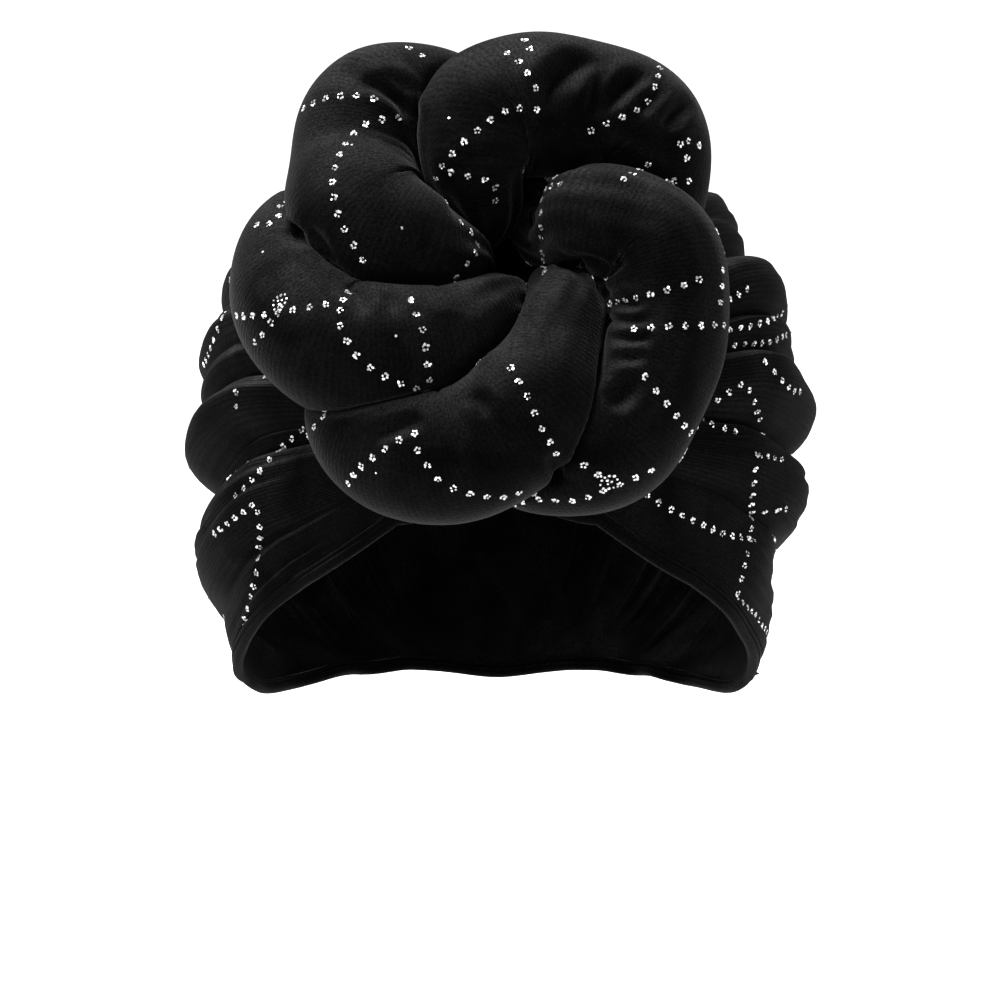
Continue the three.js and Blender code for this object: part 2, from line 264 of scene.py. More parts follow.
@dataclass
class CrownForm:
    """The smooth form of the cap and the folds that stand on it."""

    half_width: float = 88.6
    front: float = 86.0
    back: float = 104.0
    widest: float = 58.0
    rise: float = 108.0
    drop: float = 100.0
    fullness: float = 2.4
    hub: np.ndarray = field(default_factory=lambda: np.array([0.0, 4.0, 20.0]))
    gather_height: float = 97.0
    reach_gather: float = 9.0
    reach_tip: float = 95.0
    reach_nape: float = 164.0
    reach_edge: float = 14.0
    # Windows: the reaches where something starts, is full, eases and ends
    fold_window: Marks = (9.0, 58.0, 98.0, 150.0)
    level_window: Marks = (62.0, 96.0, 104.0, 150.0)
    tension_window: Marks = (24.0, 44.0, 70.0, 110.0)
    slack_window: Marks = (96.0, 124.0, 140.0, 162.0)
    nape_roundness: float = 0.54
    fold_height: float = 10.0
    sway_turn: float = 2.4
    sway_often: float = 2.1
    level_turn: float = 8.0
    tension_height: float = 0.55
    tension_cut: float = 0.5
    wave_height: float = 0.7
    slack_height: float = 0.9
    section_edge: float = 2.2
    section_side: float = 0.7
    lean: float = 30.0
    press: float = 11.5
    # Columns: reach, half spread of the fan, both in degrees
    spread: Table = (
        (9, 146), (20, 121), (42, 112), (70, 106.5), (95, 101.5), (170, 101.5),
    )
    # Columns: ridge, lift, hollow, sink
    left_folds: Table = (
        (9, 0.5, 18, -0.05), (28, 0.55, 36.5, -0.05), (40.8, 0.7, 44.2, -0.15),
        (51, 0.7, 53.6, 0.45), (55.8, 0.48, 58.8, -0.3), (64.3, 0.8, 69.6, -0.35),
        (71, -0.28, 73.5, -0.4), (82.5, 0.5, 91, -0.1),
    )
    right_folds: Table = (
        (8, 0.5, 16, 0), (21.5, 0.5, 25.5, 0.15), (31, 0.8, 38.7, -0.05), (45.6, 1.05, 49.8, 0.68),
        (52.2, 0.8, 55.4, 0.35), (61, 1.08, 67.6, -0.12), (75.8, 0.6, 81.6, -0.28),
    )
    # Columns: fan angle, depth in millimetres
    left_pleats: Table = (
        (13, 0.6), (22, 0.8), (32, 0.9), (38.5, 0.8), (47.3, 1.0), (49.3, 0.7), (57.2, 0.9),
        (61.2, 0.8), (66.2, 0.9), (76.5, 0.8), (79.4, 0.6), (86, 0.6),
    )
    right_pleats: Table = (
        (12, 0.7), (18.6, 0.8), (28.2, 0.9), (34.4, 1.0), (41.5, 0.9), (47.6, 0.8), (53.8, 0.7),
        (58, 0.9), (63.7, 1.0), (71.5, 0.9), (78.5, 0.7), (87, 0.7),
    )
    pleat_width: float = 0.8
    pleat_gain: float = 1.7
    pleat_wander: float = 0.9
    pleat_wander_length: float = 8.0
    pleat_fade_length: float = 11.0
    crease_width: float = 1.0
    crease_depth: float = 2.3
    tension_lines: Ripple = Ripple(seed=11, waves=7, low=0.12, high=0.34)
    tension_slant: float = 0.05
    soft_waves: Ripple = Ripple(seed=5, waves=3, low=0.5, high=1.1, unit=30.0)
    soft_wave_slant: float = 30.0 / 55.0
    slack_waves: Ripple = Ripple(seed=23, waves=4, low=0.6, high=1.9, unit=30.0)
    slack_sway: float = 3.0
    slack_sway_length: float = 9.0
    halvings: int = 36
    normal_step: float = 0.6

    def __post_init__(self) -> None:
        """Work out the gather, the fan's directions and the plane that the rosette sits on."""
        ahead = np.array([[0.0, -1.0, 0.0]])
        self.gather = self.meet(np.array([0.0, 0.0, self.gather_height]), ahead)[0]
        self.axis = unit(self.gather - self.hub)
        up = np.array([0.0, 0.0, 1.0])
        self.fan_up = unit(up - self.axis * (up @ self.axis))
        tilt = math.radians(self.lean)
        self.knot_out = np.array([0.0, -math.cos(tilt), math.sin(tilt)])
        self.knot_up = np.array([0.0, math.sin(tilt), math.cos(tilt)])
        turns = np.radians(np.arange(-90.0, 91.0))
        rays = np.stack([np.zeros_like(turns), -np.cos(turns), np.sin(turns)], axis=1)
        self.seat = (self.meet(self.hub, rays) @ self.knot_out).max() - self.press

    @property
    def edge_spread(self) -> float:
        """The fan's half spread at the tips, in degrees."""
        return float(self.spread_at(np.array(self.reach_tip)))

    def folds(self, side: Side) -> Table:
        """The table of folds on one side."""
        return self.left_folds if side is Side.LEFT else self.right_folds

    def pleats(self, side: Side) -> Table:
        """The table of small pleats on one side."""
        return self.left_pleats if side is Side.LEFT else self.right_pleats

    def spread_at(self, reach: np.ndarray) -> np.ndarray:
        """The fan's half spread at a reach, in degrees."""
        table = np.array(self.spread, dtype=float)
        return np.interp(reach, table[:, 0], table[:, 1])

    def measure(self, points: np.ndarray) -> np.ndarray:
        """How far out points lie: 1 on the smooth form, less inside.

        Args:
            points: The points.

        Returns:
            A number for each point.
        """
        x, y, z = points[..., 0], points[..., 1], points[..., 2]
        depth = np.where(y < 0, self.front, self.back)
        height = np.where(z > self.widest, self.rise, self.drop)
        plan = (x / self.half_width) ** 2 + (y / depth) ** 2
        return plan ** (self.fullness / 2) + np.abs((z - self.widest) / height) ** self.fullness

    def meet(self, start: np.ndarray, rays: np.ndarray) -> np.ndarray:
        """Find where straight lines from inside meet the smooth form.

        Args:
            start: The point that the lines leave from.
            rays: Their directions, each of length 1.

        Returns:
            The points on the form.
        """
        near = np.zeros(rays.shape[:-1])
        far = np.full(rays.shape[:-1], 3.0 * max(self.half_width, self.back, self.rise))
        for _ in range(self.halvings):
            middle = 0.5 * (near + far)
            inside = self.measure(start + rays * middle[..., None]) < 1.0
            near = np.where(inside, middle, near)
            far = np.where(inside, far, middle)
        return start + rays * (0.5 * (near + far))[..., None]

    def fold_strength(self, fan: np.ndarray, reach: np.ndarray) -> np.ndarray:
        """How far folds stand up, from 0 at the gather and the lower edge to 1 at the sides."""
        edge = smoothstep(self.last_reach(np.abs(fan)) - reach, 0.0, self.reach_edge)
        return window(reach, self.fold_window) * edge

    def side_height(self, side: Side, fan: np.ndarray) -> np.ndarray:
        """The height of the folds of one side, read at positive fan angles.

        Args:
            side: The side of the cap.
            fan: Positive fan angles in degrees.

        Returns:
            Heights in millimetres, less than 0 in the hollows.
        """
        height = np.zeros_like(fan)
        above_hollow, above_sink = 0.0, 0.0
        for ridge, lift, hollow, sink in self.folds(side):
            here = (fan <= hollow) & ((fan > above_hollow) | (above_hollow == 0.0))
            valley = np.where(fan < ridge, above_hollow, hollow)
            low = np.where(fan < ridge, above_sink, sink)
            away = np.clip((fan - ridge) / (valley - ridge), 0.0, 1.0)
            rounded = (1.0 - away**self.section_edge) ** self.section_side
            height = np.where(here, low + (lift - low) * rounded, height)
            above_hollow, above_sink = hollow, sink
        beyond = above_sink * (1.0 - smoothstep(fan, above_hollow, self.edge_spread))
        return self.fold_height * np.where(fan > above_hollow, beyond, height)

    def fold_height_at(self, fan: np.ndarray) -> np.ndarray:
        """The height of the folds at signed fan angles, before their strength."""
        left = self.side_height(Side.LEFT, np.abs(fan))
        return np.where(fan < 0, left, self.side_height(Side.RIGHT, np.abs(fan)))

    def last_reach(self, fan: np.ndarray) -> np.ndarray:
        """How far round the cap the cloth reaches at a fan angle before its lower edge."""
        share = np.clip(1.0 - (fan / self.edge_spread) ** 2, 0.0, 1.0) ** self.nape_roundness
        return self.reach_tip + (self.reach_nape - self.reach_tip) * share

    def point(self, fan: np.ndarray, reach: np.ndarray) -> np.ndarray:
        """Places of the cap's outer face, pressed flat where the rosette sits.

        Args:
            fan: Signed fan angles in degrees.
            reach: Reaches in degrees.

        Returns:
            The places in millimetres.
        """
        strength = self.fold_strength(fan, reach)
        narrow = self.spread_at(reach) / self.edge_spread
        swing = self.sway_turn * strength * np.sin(np.radians(reach * self.sway_often + fan))
        level = self.level_turn * window(reach, self.level_window)
        turn = np.pi * fan / self.edge_spread
        angle = np.radians(fan * narrow + (swing - level) * np.sin(turn))
        outward = np.cos(angle)[..., None] * self.fan_up
        outward = outward + np.sin(angle)[..., None] * np.array([1.0, 0.0, 0.0])
        tilt = np.radians(reach)[..., None]
        rays = np.cos(tilt) * self.axis + np.sin(tilt) * outward
        places = self.meet(self.hub, rays)
        height = self.fold_height_at(fan) * strength + self.wrinkle(fan, reach)
        places = places + rays * height[..., None]
        over = np.maximum(0.0, places @ self.knot_out - self.seat)
        return places - over[..., None] * self.knot_out

    def normal(self, fan: np.ndarray, reach: np.ndarray) -> np.ndarray:
        """The cap's outward directions at fan angles and reaches.

        Args:
            fan: Signed fan angles in degrees.
            reach: Reaches in degrees.

        Returns:
            Directions of length 1.
        """
        step = self.normal_step
        along = self.point(fan, reach + step) - self.point(fan, reach - step)
        aside = self.point(fan + step, reach) - self.point(fan - step, reach)
        return unit(np.cross(aside, along))

    def wrinkle(self, fan: np.ndarray, reach: np.ndarray) -> np.ndarray:
        """The finest folds: tension lines near the gather and soft waves behind.

        Args:
            fan: Signed fan angles in degrees.
            reach: Reaches in degrees.

        Returns:
            Heights in millimetres.
        """
        lines = self.tension_lines.at(fan + self.tension_slant * reach)
        lines = np.minimum(lines, self.tension_cut)
        tension = self.tension_height * lines * window(reach, self.tension_window)
        left = self.grooves(Side.LEFT, np.abs(fan), reach)
        grooves = np.where(fan < 0, left, self.grooves(Side.RIGHT, np.abs(fan), reach))
        waves = self.wave_height * self.soft_waves.at(reach + self.soft_wave_slant * fan)
        sway = self.slack_sway * np.sin(reach / self.slack_sway_length)
        loose = self.slack_waves.at(fan + sway)
        slack = self.slack_height * loose * window(reach, self.slack_window)
        return tension + (waves - grooves) * self.fold_strength(fan, reach) + slack

    def grooves(self, side: Side, fan: np.ndarray, reach: np.ndarray) -> np.ndarray:
        """The sharp creases along the folds' hollows and the small pleats between them.

        Args:
            side: The side of the cap.
            fan: Positive fan angles in degrees.
            reach: Reaches in degrees.

        Returns:
            Depths in millimetres.
        """
        depth = np.zeros_like(fan)
        for _, _, hollow, _ in self.folds(side):
            depth += self.crease_depth * np.exp(-(((fan - hollow) / self.crease_width) ** 2))
        for place, deep in self.pleats(side):
            wander = np.sin(reach / self.pleat_wander_length + 2.0 * place)
            centre = place + self.pleat_wander * wander
            fading = np.sin(reach / self.pleat_fade_length + 5.0 * place)
            uneven = np.clip(0.6 + 0.7 * fading, 0.0, 1.0)
            profile = np.exp(-(((fan - centre) / self.pleat_width) ** 2))
            depth += self.pleat_gain * deep * uneven * profile
        return depth


@dataclass
class VelvetCap:
    """The cap's sheet of velvet, drawn together at the front."""

    form: CrownForm
    wall: float = 2.2
    rows: int = 116
    fold_steps: int = 10
    edge_steps: int = 26
    edge_crowding: float = 1.6
    cut_width: float = 0.52
    cut_length: float = 0.24
    across_degree: float = 0.16
    along_degree: float = 0.17

    def fans(self) -> np.ndarray:
        """The fan angles of the columns: closest together where folds turn.

        Returns:
            Signed fan angles in degrees, from the left tip to the right one.
        """
        sides = []
        for side in (Side.LEFT, Side.RIGHT):
            marks = [0.0]
            for ridge, _, hollow, _ in self.form.folds(side):
                marks += [ridge, hollow]
            fans = [
                start + (end - start) * step / self.fold_steps
                for start, end in zip(marks, marks[1:])
                for step in range(self.fold_steps)
            ]
            still = (1.0 - np.arange(self.edge_steps + 1) / self.edge_steps) ** self.edge_crowding
            edge = self.form.edge_spread
            fans += list(edge + (marks[-1] - edge) * still)
            sides.append(np.array(fans))
        return np.concatenate([-sides[0][:0:-1], sides[1]])

    def grid(self) -> tuple[np.ndarray, np.ndarray]:
        """The fan angle and the reach of each corner of the cloth, a column for each fan.

        Returns:
            The fan angles and the reaches in degrees.
        """
        fans = self.fans()
        ends = self.form.last_reach(np.abs(fans))
        share = np.arange(self.rows + 1) / self.rows
        start = self.form.reach_gather
        reach = start + (ends[:, None] - start) * share[None, :]
        return np.repeat(fans[:, None], self.rows + 1, axis=1), reach

    def build(self) -> bpy.types.Object:
        """Gather a flat grid of cloth into the cap, close its middle and give it its wall.

        Returns:
            The cap, one closed shell.
        """
        fan, reach = self.grid()
        columns = fan.shape[0]
        deselect_all()
        bpy.ops.mesh.primitive_grid_add(
            x_subdivisions=columns - 1, y_subdivisions=self.rows, size=1.0, location=(0, 0, 0)
        )
        cap = bpy.context.object
        cap.name = cap.data.name = "velvet_cap"
        flat = np.empty(3 * len(cap.data.vertices))
        cap.data.vertices.foreach_get("co", flat)
        flat = flat.reshape(-1, 3)
        column = np.rint((flat[:, 0] + 0.5) * (columns - 1)).astype(int)
        row = np.rint((flat[:, 1] + 0.5) * self.rows).astype(int)
        places = self.form.point(fan, reach)
        place_vertices(cap, places[column, row])
        self.lay_cloth_map(cap, fan[column, row], reach[column, row])
        self.close_gather(cap, row)
        self.face_outwards(cap)
        thicken(cap, self.wall)
        smooth_shade(cap)
        self.edge = self.rim(places)
        return cap

    def lay_cloth_map(self, cap: bpy.types.Object, fan: np.ndarray, reach: np.ndarray) -> None:
        """Write the cloth's own coordinates, in centimetres across and along the folds.

        Args:
            cap: The cap.
            fan: The fan angle of each vertex.
            reach: The reach of each vertex.
        """
        corners = np.empty(len(cap.data.loops), dtype=int)
        cap.data.loops.foreach_get("vertex_index", corners)
        cloth = np.stack([fan * self.across_degree, reach * self.along_degree], axis=1)[corners]
        cap.data.uv_layers[0].data.foreach_set("uv", cloth.ravel())

    def close_gather(self, cap: bpy.types.Object, row: np.ndarray) -> None:
        """Fill the ring where the cloth is drawn shut.

        Args:
            cap: The cap.
            row: The row of each vertex, 0 at the gather.
        """
        take(cap)
        bpy.ops.object.mode_set(mode="EDIT")
        bpy.ops.mesh.select_all(action="DESELECT")
        bpy.ops.mesh.select_mode(type="VERT")
        bpy.ops.object.mode_set(mode="OBJECT")
        cap.data.vertices.foreach_set("select", row == 0)
        bpy.ops.object.mode_set(mode="EDIT")
        bpy.ops.mesh.edge_face_add()
        bpy.ops.mesh.poke()
        bpy.ops.object.mode_set(mode="OBJECT")

    def face_outwards(self, cap: bpy.types.Object) -> None:
        """Turn the faces so that they look away from the hub.

        Args:
            cap: The cap.
        """
        take(cap)
        bpy.ops.object.mode_set(mode="EDIT")
        bpy.ops.mesh.select_all(action="SELECT")
        bpy.ops.mesh.normals_make_consistent(inside=False)
        bpy.ops.object.mode_set(mode="OBJECT")
        top = max(cap.data.polygons, key=lambda face: face.center.z)
        if top.normal.z < 0:
            bpy.ops.object.mode_set(mode="EDIT")
            bpy.ops.mesh.flip_normals()
            bpy.ops.object.mode_set(mode="OBJECT")

    def rim(self, grid: np.ndarray) -> np.ndarray:
        """The cloth's edge in order: down the left front, round the nape, up the right front."""
        return np.concatenate([grid[0], grid[1:-1, -1], grid[-1][::-1]])

    def rim_normals(self) -> np.ndarray:
        """The cloth's outward directions along the same edge."""
        fans, reaches = (self.rim(values) for values in self.grid())
        return self.form.normal(fans, reaches)


def thicken(piece: bpy.types.Object, wall: float) -> None:
    """Give a sheet its wall, on the inner side of its faces.

    Args:
        piece: The sheet.
        wall: The wall in millimetres.
    """
    take(piece)
    solid = piece.modifiers.new("wall", "SOLIDIFY")
    solid.thickness = wall * MM
    solid.offset = -1.0
    solid.use_quality_normals = True
    bpy.ops.object.modifier_apply(modifier=solid.name)


@dataclass
class FrontHem:
    """The turned and stitched band that finishes the cap's edge."""

    cap: VelvetCap
    width: float = 4.2
    thickness: float = 3.2
    gap: float = 0.3
    smoothing: int = 3
    # Columns: share of the width outwards, share of half the thickness across
    section: Table = (
        (0, -0.62), (0.05, -0.88), (0.18, -0.97), (0.30, -0.97), (0.36, -0.70), (0.42, -0.97),
        (0.60, -1.0), (0.80, -0.93), (0.93, -0.70), (0.99, -0.36), (1.0, 0.0), (0.99, 0.36),
        (0.93, 0.70), (0.80, 0.93), (0.60, 1.0), (0.42, 0.97), (0.36, 0.70), (0.30, 0.97),
        (0.18, 0.97), (0.05, 0.88), (0, 0.62), (0, 0.0),
    )

    def build(self) -> bpy.types.Object:
        """Sweep the hem's section round the cap's edge.

        Returns:
            The hem, one closed ring.
        """
        edge = self.cap.edge
        normals = self.cap.rim_normals()
        shifts = range(-self.smoothing, self.smoothing + 1)
        normals = unit(sum(np.roll(normals, shift, axis=0) for shift in shifts))
        centre = edge - normals * self.cap.wall / 2.0
        along = unit(np.roll(centre, -1, axis=0) - np.roll(centre, 1, axis=0))
        outward = unit(np.cross(normals, along))
        lift = unit(np.cross(along, outward))
        section = np.array(self.section)
        out = self.gap + section[:, 0] * self.width
        across = section[:, 1] * self.thickness / 2.0
        rings = centre[:, None, :] + out[None, :, None] * outward[:, None, :]
        rings = rings + across[None, :, None] * lift[:, None, :]
        hem = mesh_piece("front_hem_band", rings.reshape(-1, 3), ring_faces(*rings.shape[:2]))
        run = np.cumsum(np.linalg.norm(centre - np.roll(centre, 1, axis=0), axis=1))
        girth = np.cumsum(np.hypot(np.diff(out, prepend=0), np.diff(across, prepend=0)))
        lay_ring_map(hem, run, girth)
        smooth_shade(hem, 75.0)
        return hem


def ring_faces(sections: int, sides: int) -> list[tuple[int, int, int, int]]:
    """The faces of a closed ring of closed sections.

    Args:
        sections: How many sections the ring has.
        sides: How many corners a section has.

    Returns:
        The corner numbers of each face.
    """
    faces = []
    for section in range(sections):
        here, after = section * sides, (section + 1) % sections * sides
        for side in range(sides):
            beside = (side + 1) % sides
            faces.append((here + side, here + beside, after + beside, after + side))
    return faces


def lay_ring_map(piece: bpy.types.Object, run: np.ndarray, girth: np.ndarray) -> None:
    """Give a ring its own cloth coordinates, in centimetres along it and round its section.

    Args:
        piece: A ring whose corners are numbered section by section.
        run: The distance along the ring at each section, in millimetres.
        girth: The distance round a section at each of its corners, in millimetres.
    """
    sides, sections = len(girth), len(run)
    layer = piece.data.uv_layers.new(name="cloth")
    corners = np.empty(len(piece.data.loops), dtype=int)
    piece.data.loops.foreach_get("vertex_index", corners)
    section, side = corners // sides, corners % sides
    faces = np.repeat(np.arange(len(piece.data.polygons)), 4)
    first_section, first_side = faces // sides, faces % sides
    across = girth[side] + np.where((first_side == sides - 1) & (side == 0), girth[-1] + girth[1], 0.0)
    last = (first_section == sections - 1) & (section == 0)
    along = run[section] + np.where(last, run[-1] + run[1] - run[0], 0.0)
    layer.data.foreach_set("uv", (np.stack([along, across], axis=1) / MAP_UNIT).ravel())


@dataclass
class KnotRoll:
    """The stuffed roll, one closed ring tied into the rosette."""

    form: CrownForm
    ring: float = 57.0
    roll: float = 20.5
    rise: float = 12.0
    above: float = 35.0
    aside: float = 2.0
    gap: float = 0.3
    back: float = 28.0
    slit: float = 0.5
    bend_fill: float = 0.82
    pass_apart: float = 2.1
    samples: int = 900
    sides: int = 96
    station_steps: int = 60
    bend_span: int = 4
    soften: float = 0.9
    seat_soften: float = 0.4
    pinch_height: float = 0.4
    bend_height: float = 0.85
    lump_height: float = 0.42
    # Lengthwise folds: two counts of folds round the section, and the shares of roll that are pinched
    pinch_folds: tuple[int, int] = (13, 8)
    pinched_shares: Span = (0.55, 0.95)
    pinch_sway: float = 0.03
    pinch_sway_length: float = 11.0
    # Crosswise folds: the curvature where they start and are full, and where their height is cut
    bent_limits: Span = (0.014, 0.036)
    bend_cut: float = 0.35
    bend_folds: Ripple = Ripple(seed=31, waves=4, low=0.7, high=1.6, unit=10.0)
    bend_fold_slant: float = 2.0
    lump_turn: float = 0.1
    lump_turns: Ripple = Ripple(seed=40, waves=2, low=1.0, high=1.6, unit=90.0)
    side_lumps: Ripple = Ripple(seed=41, waves=3, low=0.8, high=1.9, unit=60.0)
    long_lumps: Ripple = Ripple(seed=43, waves=3, low=0.8, high=1.8, unit=42.0)
    pass_steps: int = 2
    crease_reach: float = 60.0
    crease_bank: float = 0.3
    bank_away: float = 2.0
    crease_ends: float = 0.7
    # Columns: turn round the rosette in degrees, then shares of ring, rise and roll
    stations: Table = (
        (106, 0.945, -0.6, 0.87), (124, 1.055, -0.1, 1), (145, 0.89, 0.35, 1), (163, 0.71, 0.9, 1),
        (172, 0.42, 0.85, 0.84), (160, 0.24, -0.1, 0.5), (215, 0.49, -1.55, 0.5),
        (221, 0.9, -0.65, 0.84), (240, 1, 0.1, 1), (258, 0.95, 0.6, 1), (280, 0.74, 0.95, 0.95),
        (314, 0.39, 0.4, 0.7), (350, 0.3, -0.6, 0.53), (378, 0.54, -1.55, 0.5),
        (391, 0.8, -0.65, 0.86), (410, 1, 0, 1), (430, 0.93, 0.45, 1.01), (456, 0.8, 0.9, 0.94),
        (465, 0.58, 0.9, 0.79), (468, 0.41, -0.2, 0.52), (510, 0.53, -1.55, 0.5),
        (524, 0.94, -0.7, 0.87), (546, 1, 0.1, 1), (569, 0.88, 0.8, 1), (592, 0.53, 0.9, 0.9),
        (635, 0.23, 0.1, 0.56), (638, 0.56, -1.55, 0.5),
        (640, 0.86, -0.75, 0.84), (664, 0.96, 0.1, 0.96), (697, 0.87, 0.7, 0.82), (727, 0.75, 1, 0.82),
        (750, 0.51, 0.8, 0.73), (762, 0.39, -0.5, 0.52), (804, 0.56, -1.55, 0.5),
    )

    def centre(self) -> np.ndarray:
        """The middle of the rosette.

        Returns:
            A place in millimetres.
        """
        form = self.form
        height = form.gather @ form.knot_up + self.above
        place = form.knot_out * (form.seat + self.gap + self.back) + form.knot_up * height
        return place + np.array([self.aside, 0.0, 0.0])

    def centre_line(self) -> tuple[np.ndarray, np.ndarray, float]:
        """The roll's centre line in the rosette's own directions.

        Returns:
            Evenly spaced places, the radius at each, and the line's length.
        """
        table = np.array(self.stations, dtype=float)
        turn = np.radians(table[:, 0])
        ring = table[:, 1] * self.ring
        points = np.stack([ring * np.cos(turn), ring * np.sin(turn), table[:, 2] * self.rise], axis=1)
        line = closed_line(points, self.station_steps)
        radii = closed_values(table[:, 3] * self.roll, self.station_steps)
        steps = np.linalg.norm(np.roll(line, -1, axis=0) - line, axis=1)
        run = np.concatenate([[0.0], np.cumsum(steps)])
        at = run[-1] * np.arange(self.samples) / self.samples
        line = np.concatenate([line, line[:1]])
        radii = np.concatenate([radii, radii[:1]])
        places = np.stack([np.interp(at, run, line[:, axis]) for axis in range(3)], axis=1)
        return places, np.interp(at, run, radii), float(run[-1])

    def section_frames(self, places: np.ndarray) -> tuple[np.ndarray, np.ndarray, np.ndarray]:
        """Directions across the roll that turn as little as they can along it.

        Args:
            places: The centre line.

        Returns:
            The directions along, first across and second across at each place.
        """
        along = unit(np.roll(places, -1, axis=0) - np.roll(places, 1, axis=0))
        first = np.empty_like(along)
        first[0] = unit(np.cross(along[0], [0.0, 0.0, 1.0]))
        for k in range(1, len(along)):
            first[k] = unit(first[k - 1] - along[k] * (first[k - 1] @ along[k]))
        closing = unit(first[-1] - along[0] * (first[-1] @ along[0]))
        miss = math.atan2(np.cross(closing, first[0]) @ along[0], closing @ first[0])
        turn = (miss * np.arange(len(along)) / len(along))[:, None]
        second = np.cross(along, first)
        first, second = (
            first * np.cos(turn) + second * np.sin(turn),
            second * np.cos(turn) - first * np.sin(turn),
        )
        return along, first, second

    def contact(self, places: np.ndarray, radii: np.ndarray, rays: np.ndarray, step: float) -> np.ndarray:
        """How far the skin can reach before it presses against another pass of the roll.

        Args:
            places: The centre line.
            radii: The radius at each place.
            rays: The section's directions at each place.
            step: The distance between places.

        Returns:
            The reach in millimetres for each place and direction.
        """
        count = len(places)
        reach = np.full(rays.shape[:2], FAR)
        others = np.arange(0, count, self.pass_steps)
        for k in range(count):
            apart = np.abs(others - k)
            apart = np.minimum(apart, count - apart) * step
            far = others[apart >= self.pass_apart * radii[k]]
            offset = places[k] - places[far]
            grow = radii[far] / radii[k]
            square = 1.0 - grow**2
            slope = rays[k] @ offset.T - self.slit * grow
            rest = (offset**2).sum(axis=1) - self.slit**2
            root = slope**2 - square * rest
            below = -slope + np.sqrt(np.maximum(root, 0.0))
            valid = (root >= 0.0) & (below > 1e-6)
            meets = np.where(valid, rest / np.where(valid, below, 1.0), FAR)
            reach[k] = meets.min(axis=1)
        return reach

    def skin(self) -> tuple[np.ndarray, float]:
        """The roll's skin, section by section, in the rosette's own directions.

        Returns:
            The skin's places, and the length of the centre line.
        """
        places, radii, length = self.centre_line()
        step = length / self.samples
        along, first, second = self.section_frames(places)
        angle = 2.0 * math.pi * np.arange(self.sides) / self.sides
        rays = first[:, None, :] * np.cos(angle)[None, :, None]
        rays = rays + second[:, None, :] * np.sin(angle)[None, :, None]
        span = self.bend_span
        bend = (np.roll(along, -span, axis=0) - np.roll(along, span, axis=0)) / (2.0 * span * step)
        inward = np.einsum("ki,ksi->ks", bend, rays)
        own = np.repeat(radii[:, None], self.sides, axis=1)
        own = soft_least(own, self.bend_fill / np.maximum(inward, 1e-4), self.soften)
        depth = (self.back + places[:, None, 2]) / np.maximum(-rays[..., 2], 1e-4)
        down = np.where(rays[..., 2] < 0, depth, FAR)
        reach = soft_least(own, self.contact(places, radii, rays, step), self.soften)
        reach = np.minimum(soft_least(reach, down, self.seat_soften), down)
        reach = reach + self.wrinkles(radii, inward, angle, step)
        reach = np.minimum(reach, down)
        return places[:, None, :] + rays * reach[..., None], length

    def wrinkles(
        self, radii: np.ndarray, inward: np.ndarray, angle: np.ndarray, step: float
    ) -> np.ndarray:
        """Small folds of the skin: lengthwise where the roll is pinched, crosswise inside a bend.

        Args:
            radii: The radius at each place of the centre line.
            inward: How far each direction points into the bend.
            angle: The turn of each direction round the section.
            step: The distance between places.

        Returns:
            Heights in millimetres.
        """
        run = (np.arange(len(radii)) * step)[:, None]
        turn = (angle / (2.0 * math.pi))[None, :]
        pinched = 1.0 - smoothstep(radii / self.roll, *self.pinched_shares)[:, None]
        sway = self.pinch_sway * np.sin(run / self.pinch_sway_length)
        fine, coarse = self.pinch_folds
        lengthwise = np.sin(2.0 * math.pi * fine * (turn + sway))
        lengthwise = lengthwise + np.sin(2.0 * math.pi * coarse * (turn - sway))
        bent = smoothstep(inward, *self.bent_limits)
        crosswise = self.bend_folds.at(run + self.bend_fold_slant * turn)
        crosswise = np.minimum(crosswise, self.bend_cut)
        full = np.cos(2.0 * math.pi * (turn + self.lump_turn * self.lump_turns.at(run)))
        lumps = full * self.side_lumps.at(run) + self.long_lumps.at(run)
        folds = self.pinch_height * pinched * lengthwise + self.bend_height * bent * crosswise
        return folds + self.lump_height * lumps

    def press_creases(
        self, roll: bpy.types.Object, view: PhotoView, creases: tuple[Crease, ...]
    ) -> None:
        """Press the larger creases of the skin in, each with a soft bank on both sides.

        Args:
            roll: The roll.
            view: The camera that the creases are placed by.
            creases: The creases.
        """
        tree = surface(roll)
        places = vertex_places(roll)
        normals = vertex_normals(roll)
        height = np.zeros(len(places))
        for crease in creases:
            line = np.array([place for place, _ in view.follow(tree, crease.pixels)])
            near = np.linalg.norm(places - line.mean(axis=0), axis=1) < self.crease_reach
            offsets = places[near][:, None, :] - line[None, :, :]
            apart = np.linalg.norm(offsets, axis=2)
            nearest = apart.argmin(axis=1)
            away = apart.min(axis=1) / crease.width
            fade = np.sin(math.pi * (nearest + 0.5) / len(line)) ** self.crease_ends
            bank = self.crease_bank * np.exp(-((away - self.bank_away) ** 2))
            dent = np.exp(-(away**2)) - bank
            height[near] -= crease.depth * fade * dent
        place_vertices(roll, places + normals * height[:, None])

    def build(self, view: PhotoView, creases: tuple[Crease, ...]) -> bpy.types.Object:
        """Skin the knotted roll and crease it.

        Args:
            view: The camera that the creases are placed by.
            creases: The creases of the skin.

        Returns:
            The roll, one closed skin.
        """
        skin, length = self.skin()
        form = self.form
        places = self.centre() + skin[..., :1] * np.array([1.0, 0.0, 0.0])
        places = places + skin[..., 1:2] * form.knot_up + skin[..., 2:] * form.knot_out
        roll = mesh_piece("stuffed_roll", places.reshape(-1, 3), ring_faces(self.samples, self.sides))
        lay_ring_map(
            roll,
            np.arange(self.samples) * length / self.samples,
            2.0 * math.pi * self.roll * np.arange(self.sides) / self.sides,
        )
        self.press_creases(roll, view, creases)
        smooth_shade(roll, 180.0)
        return roll


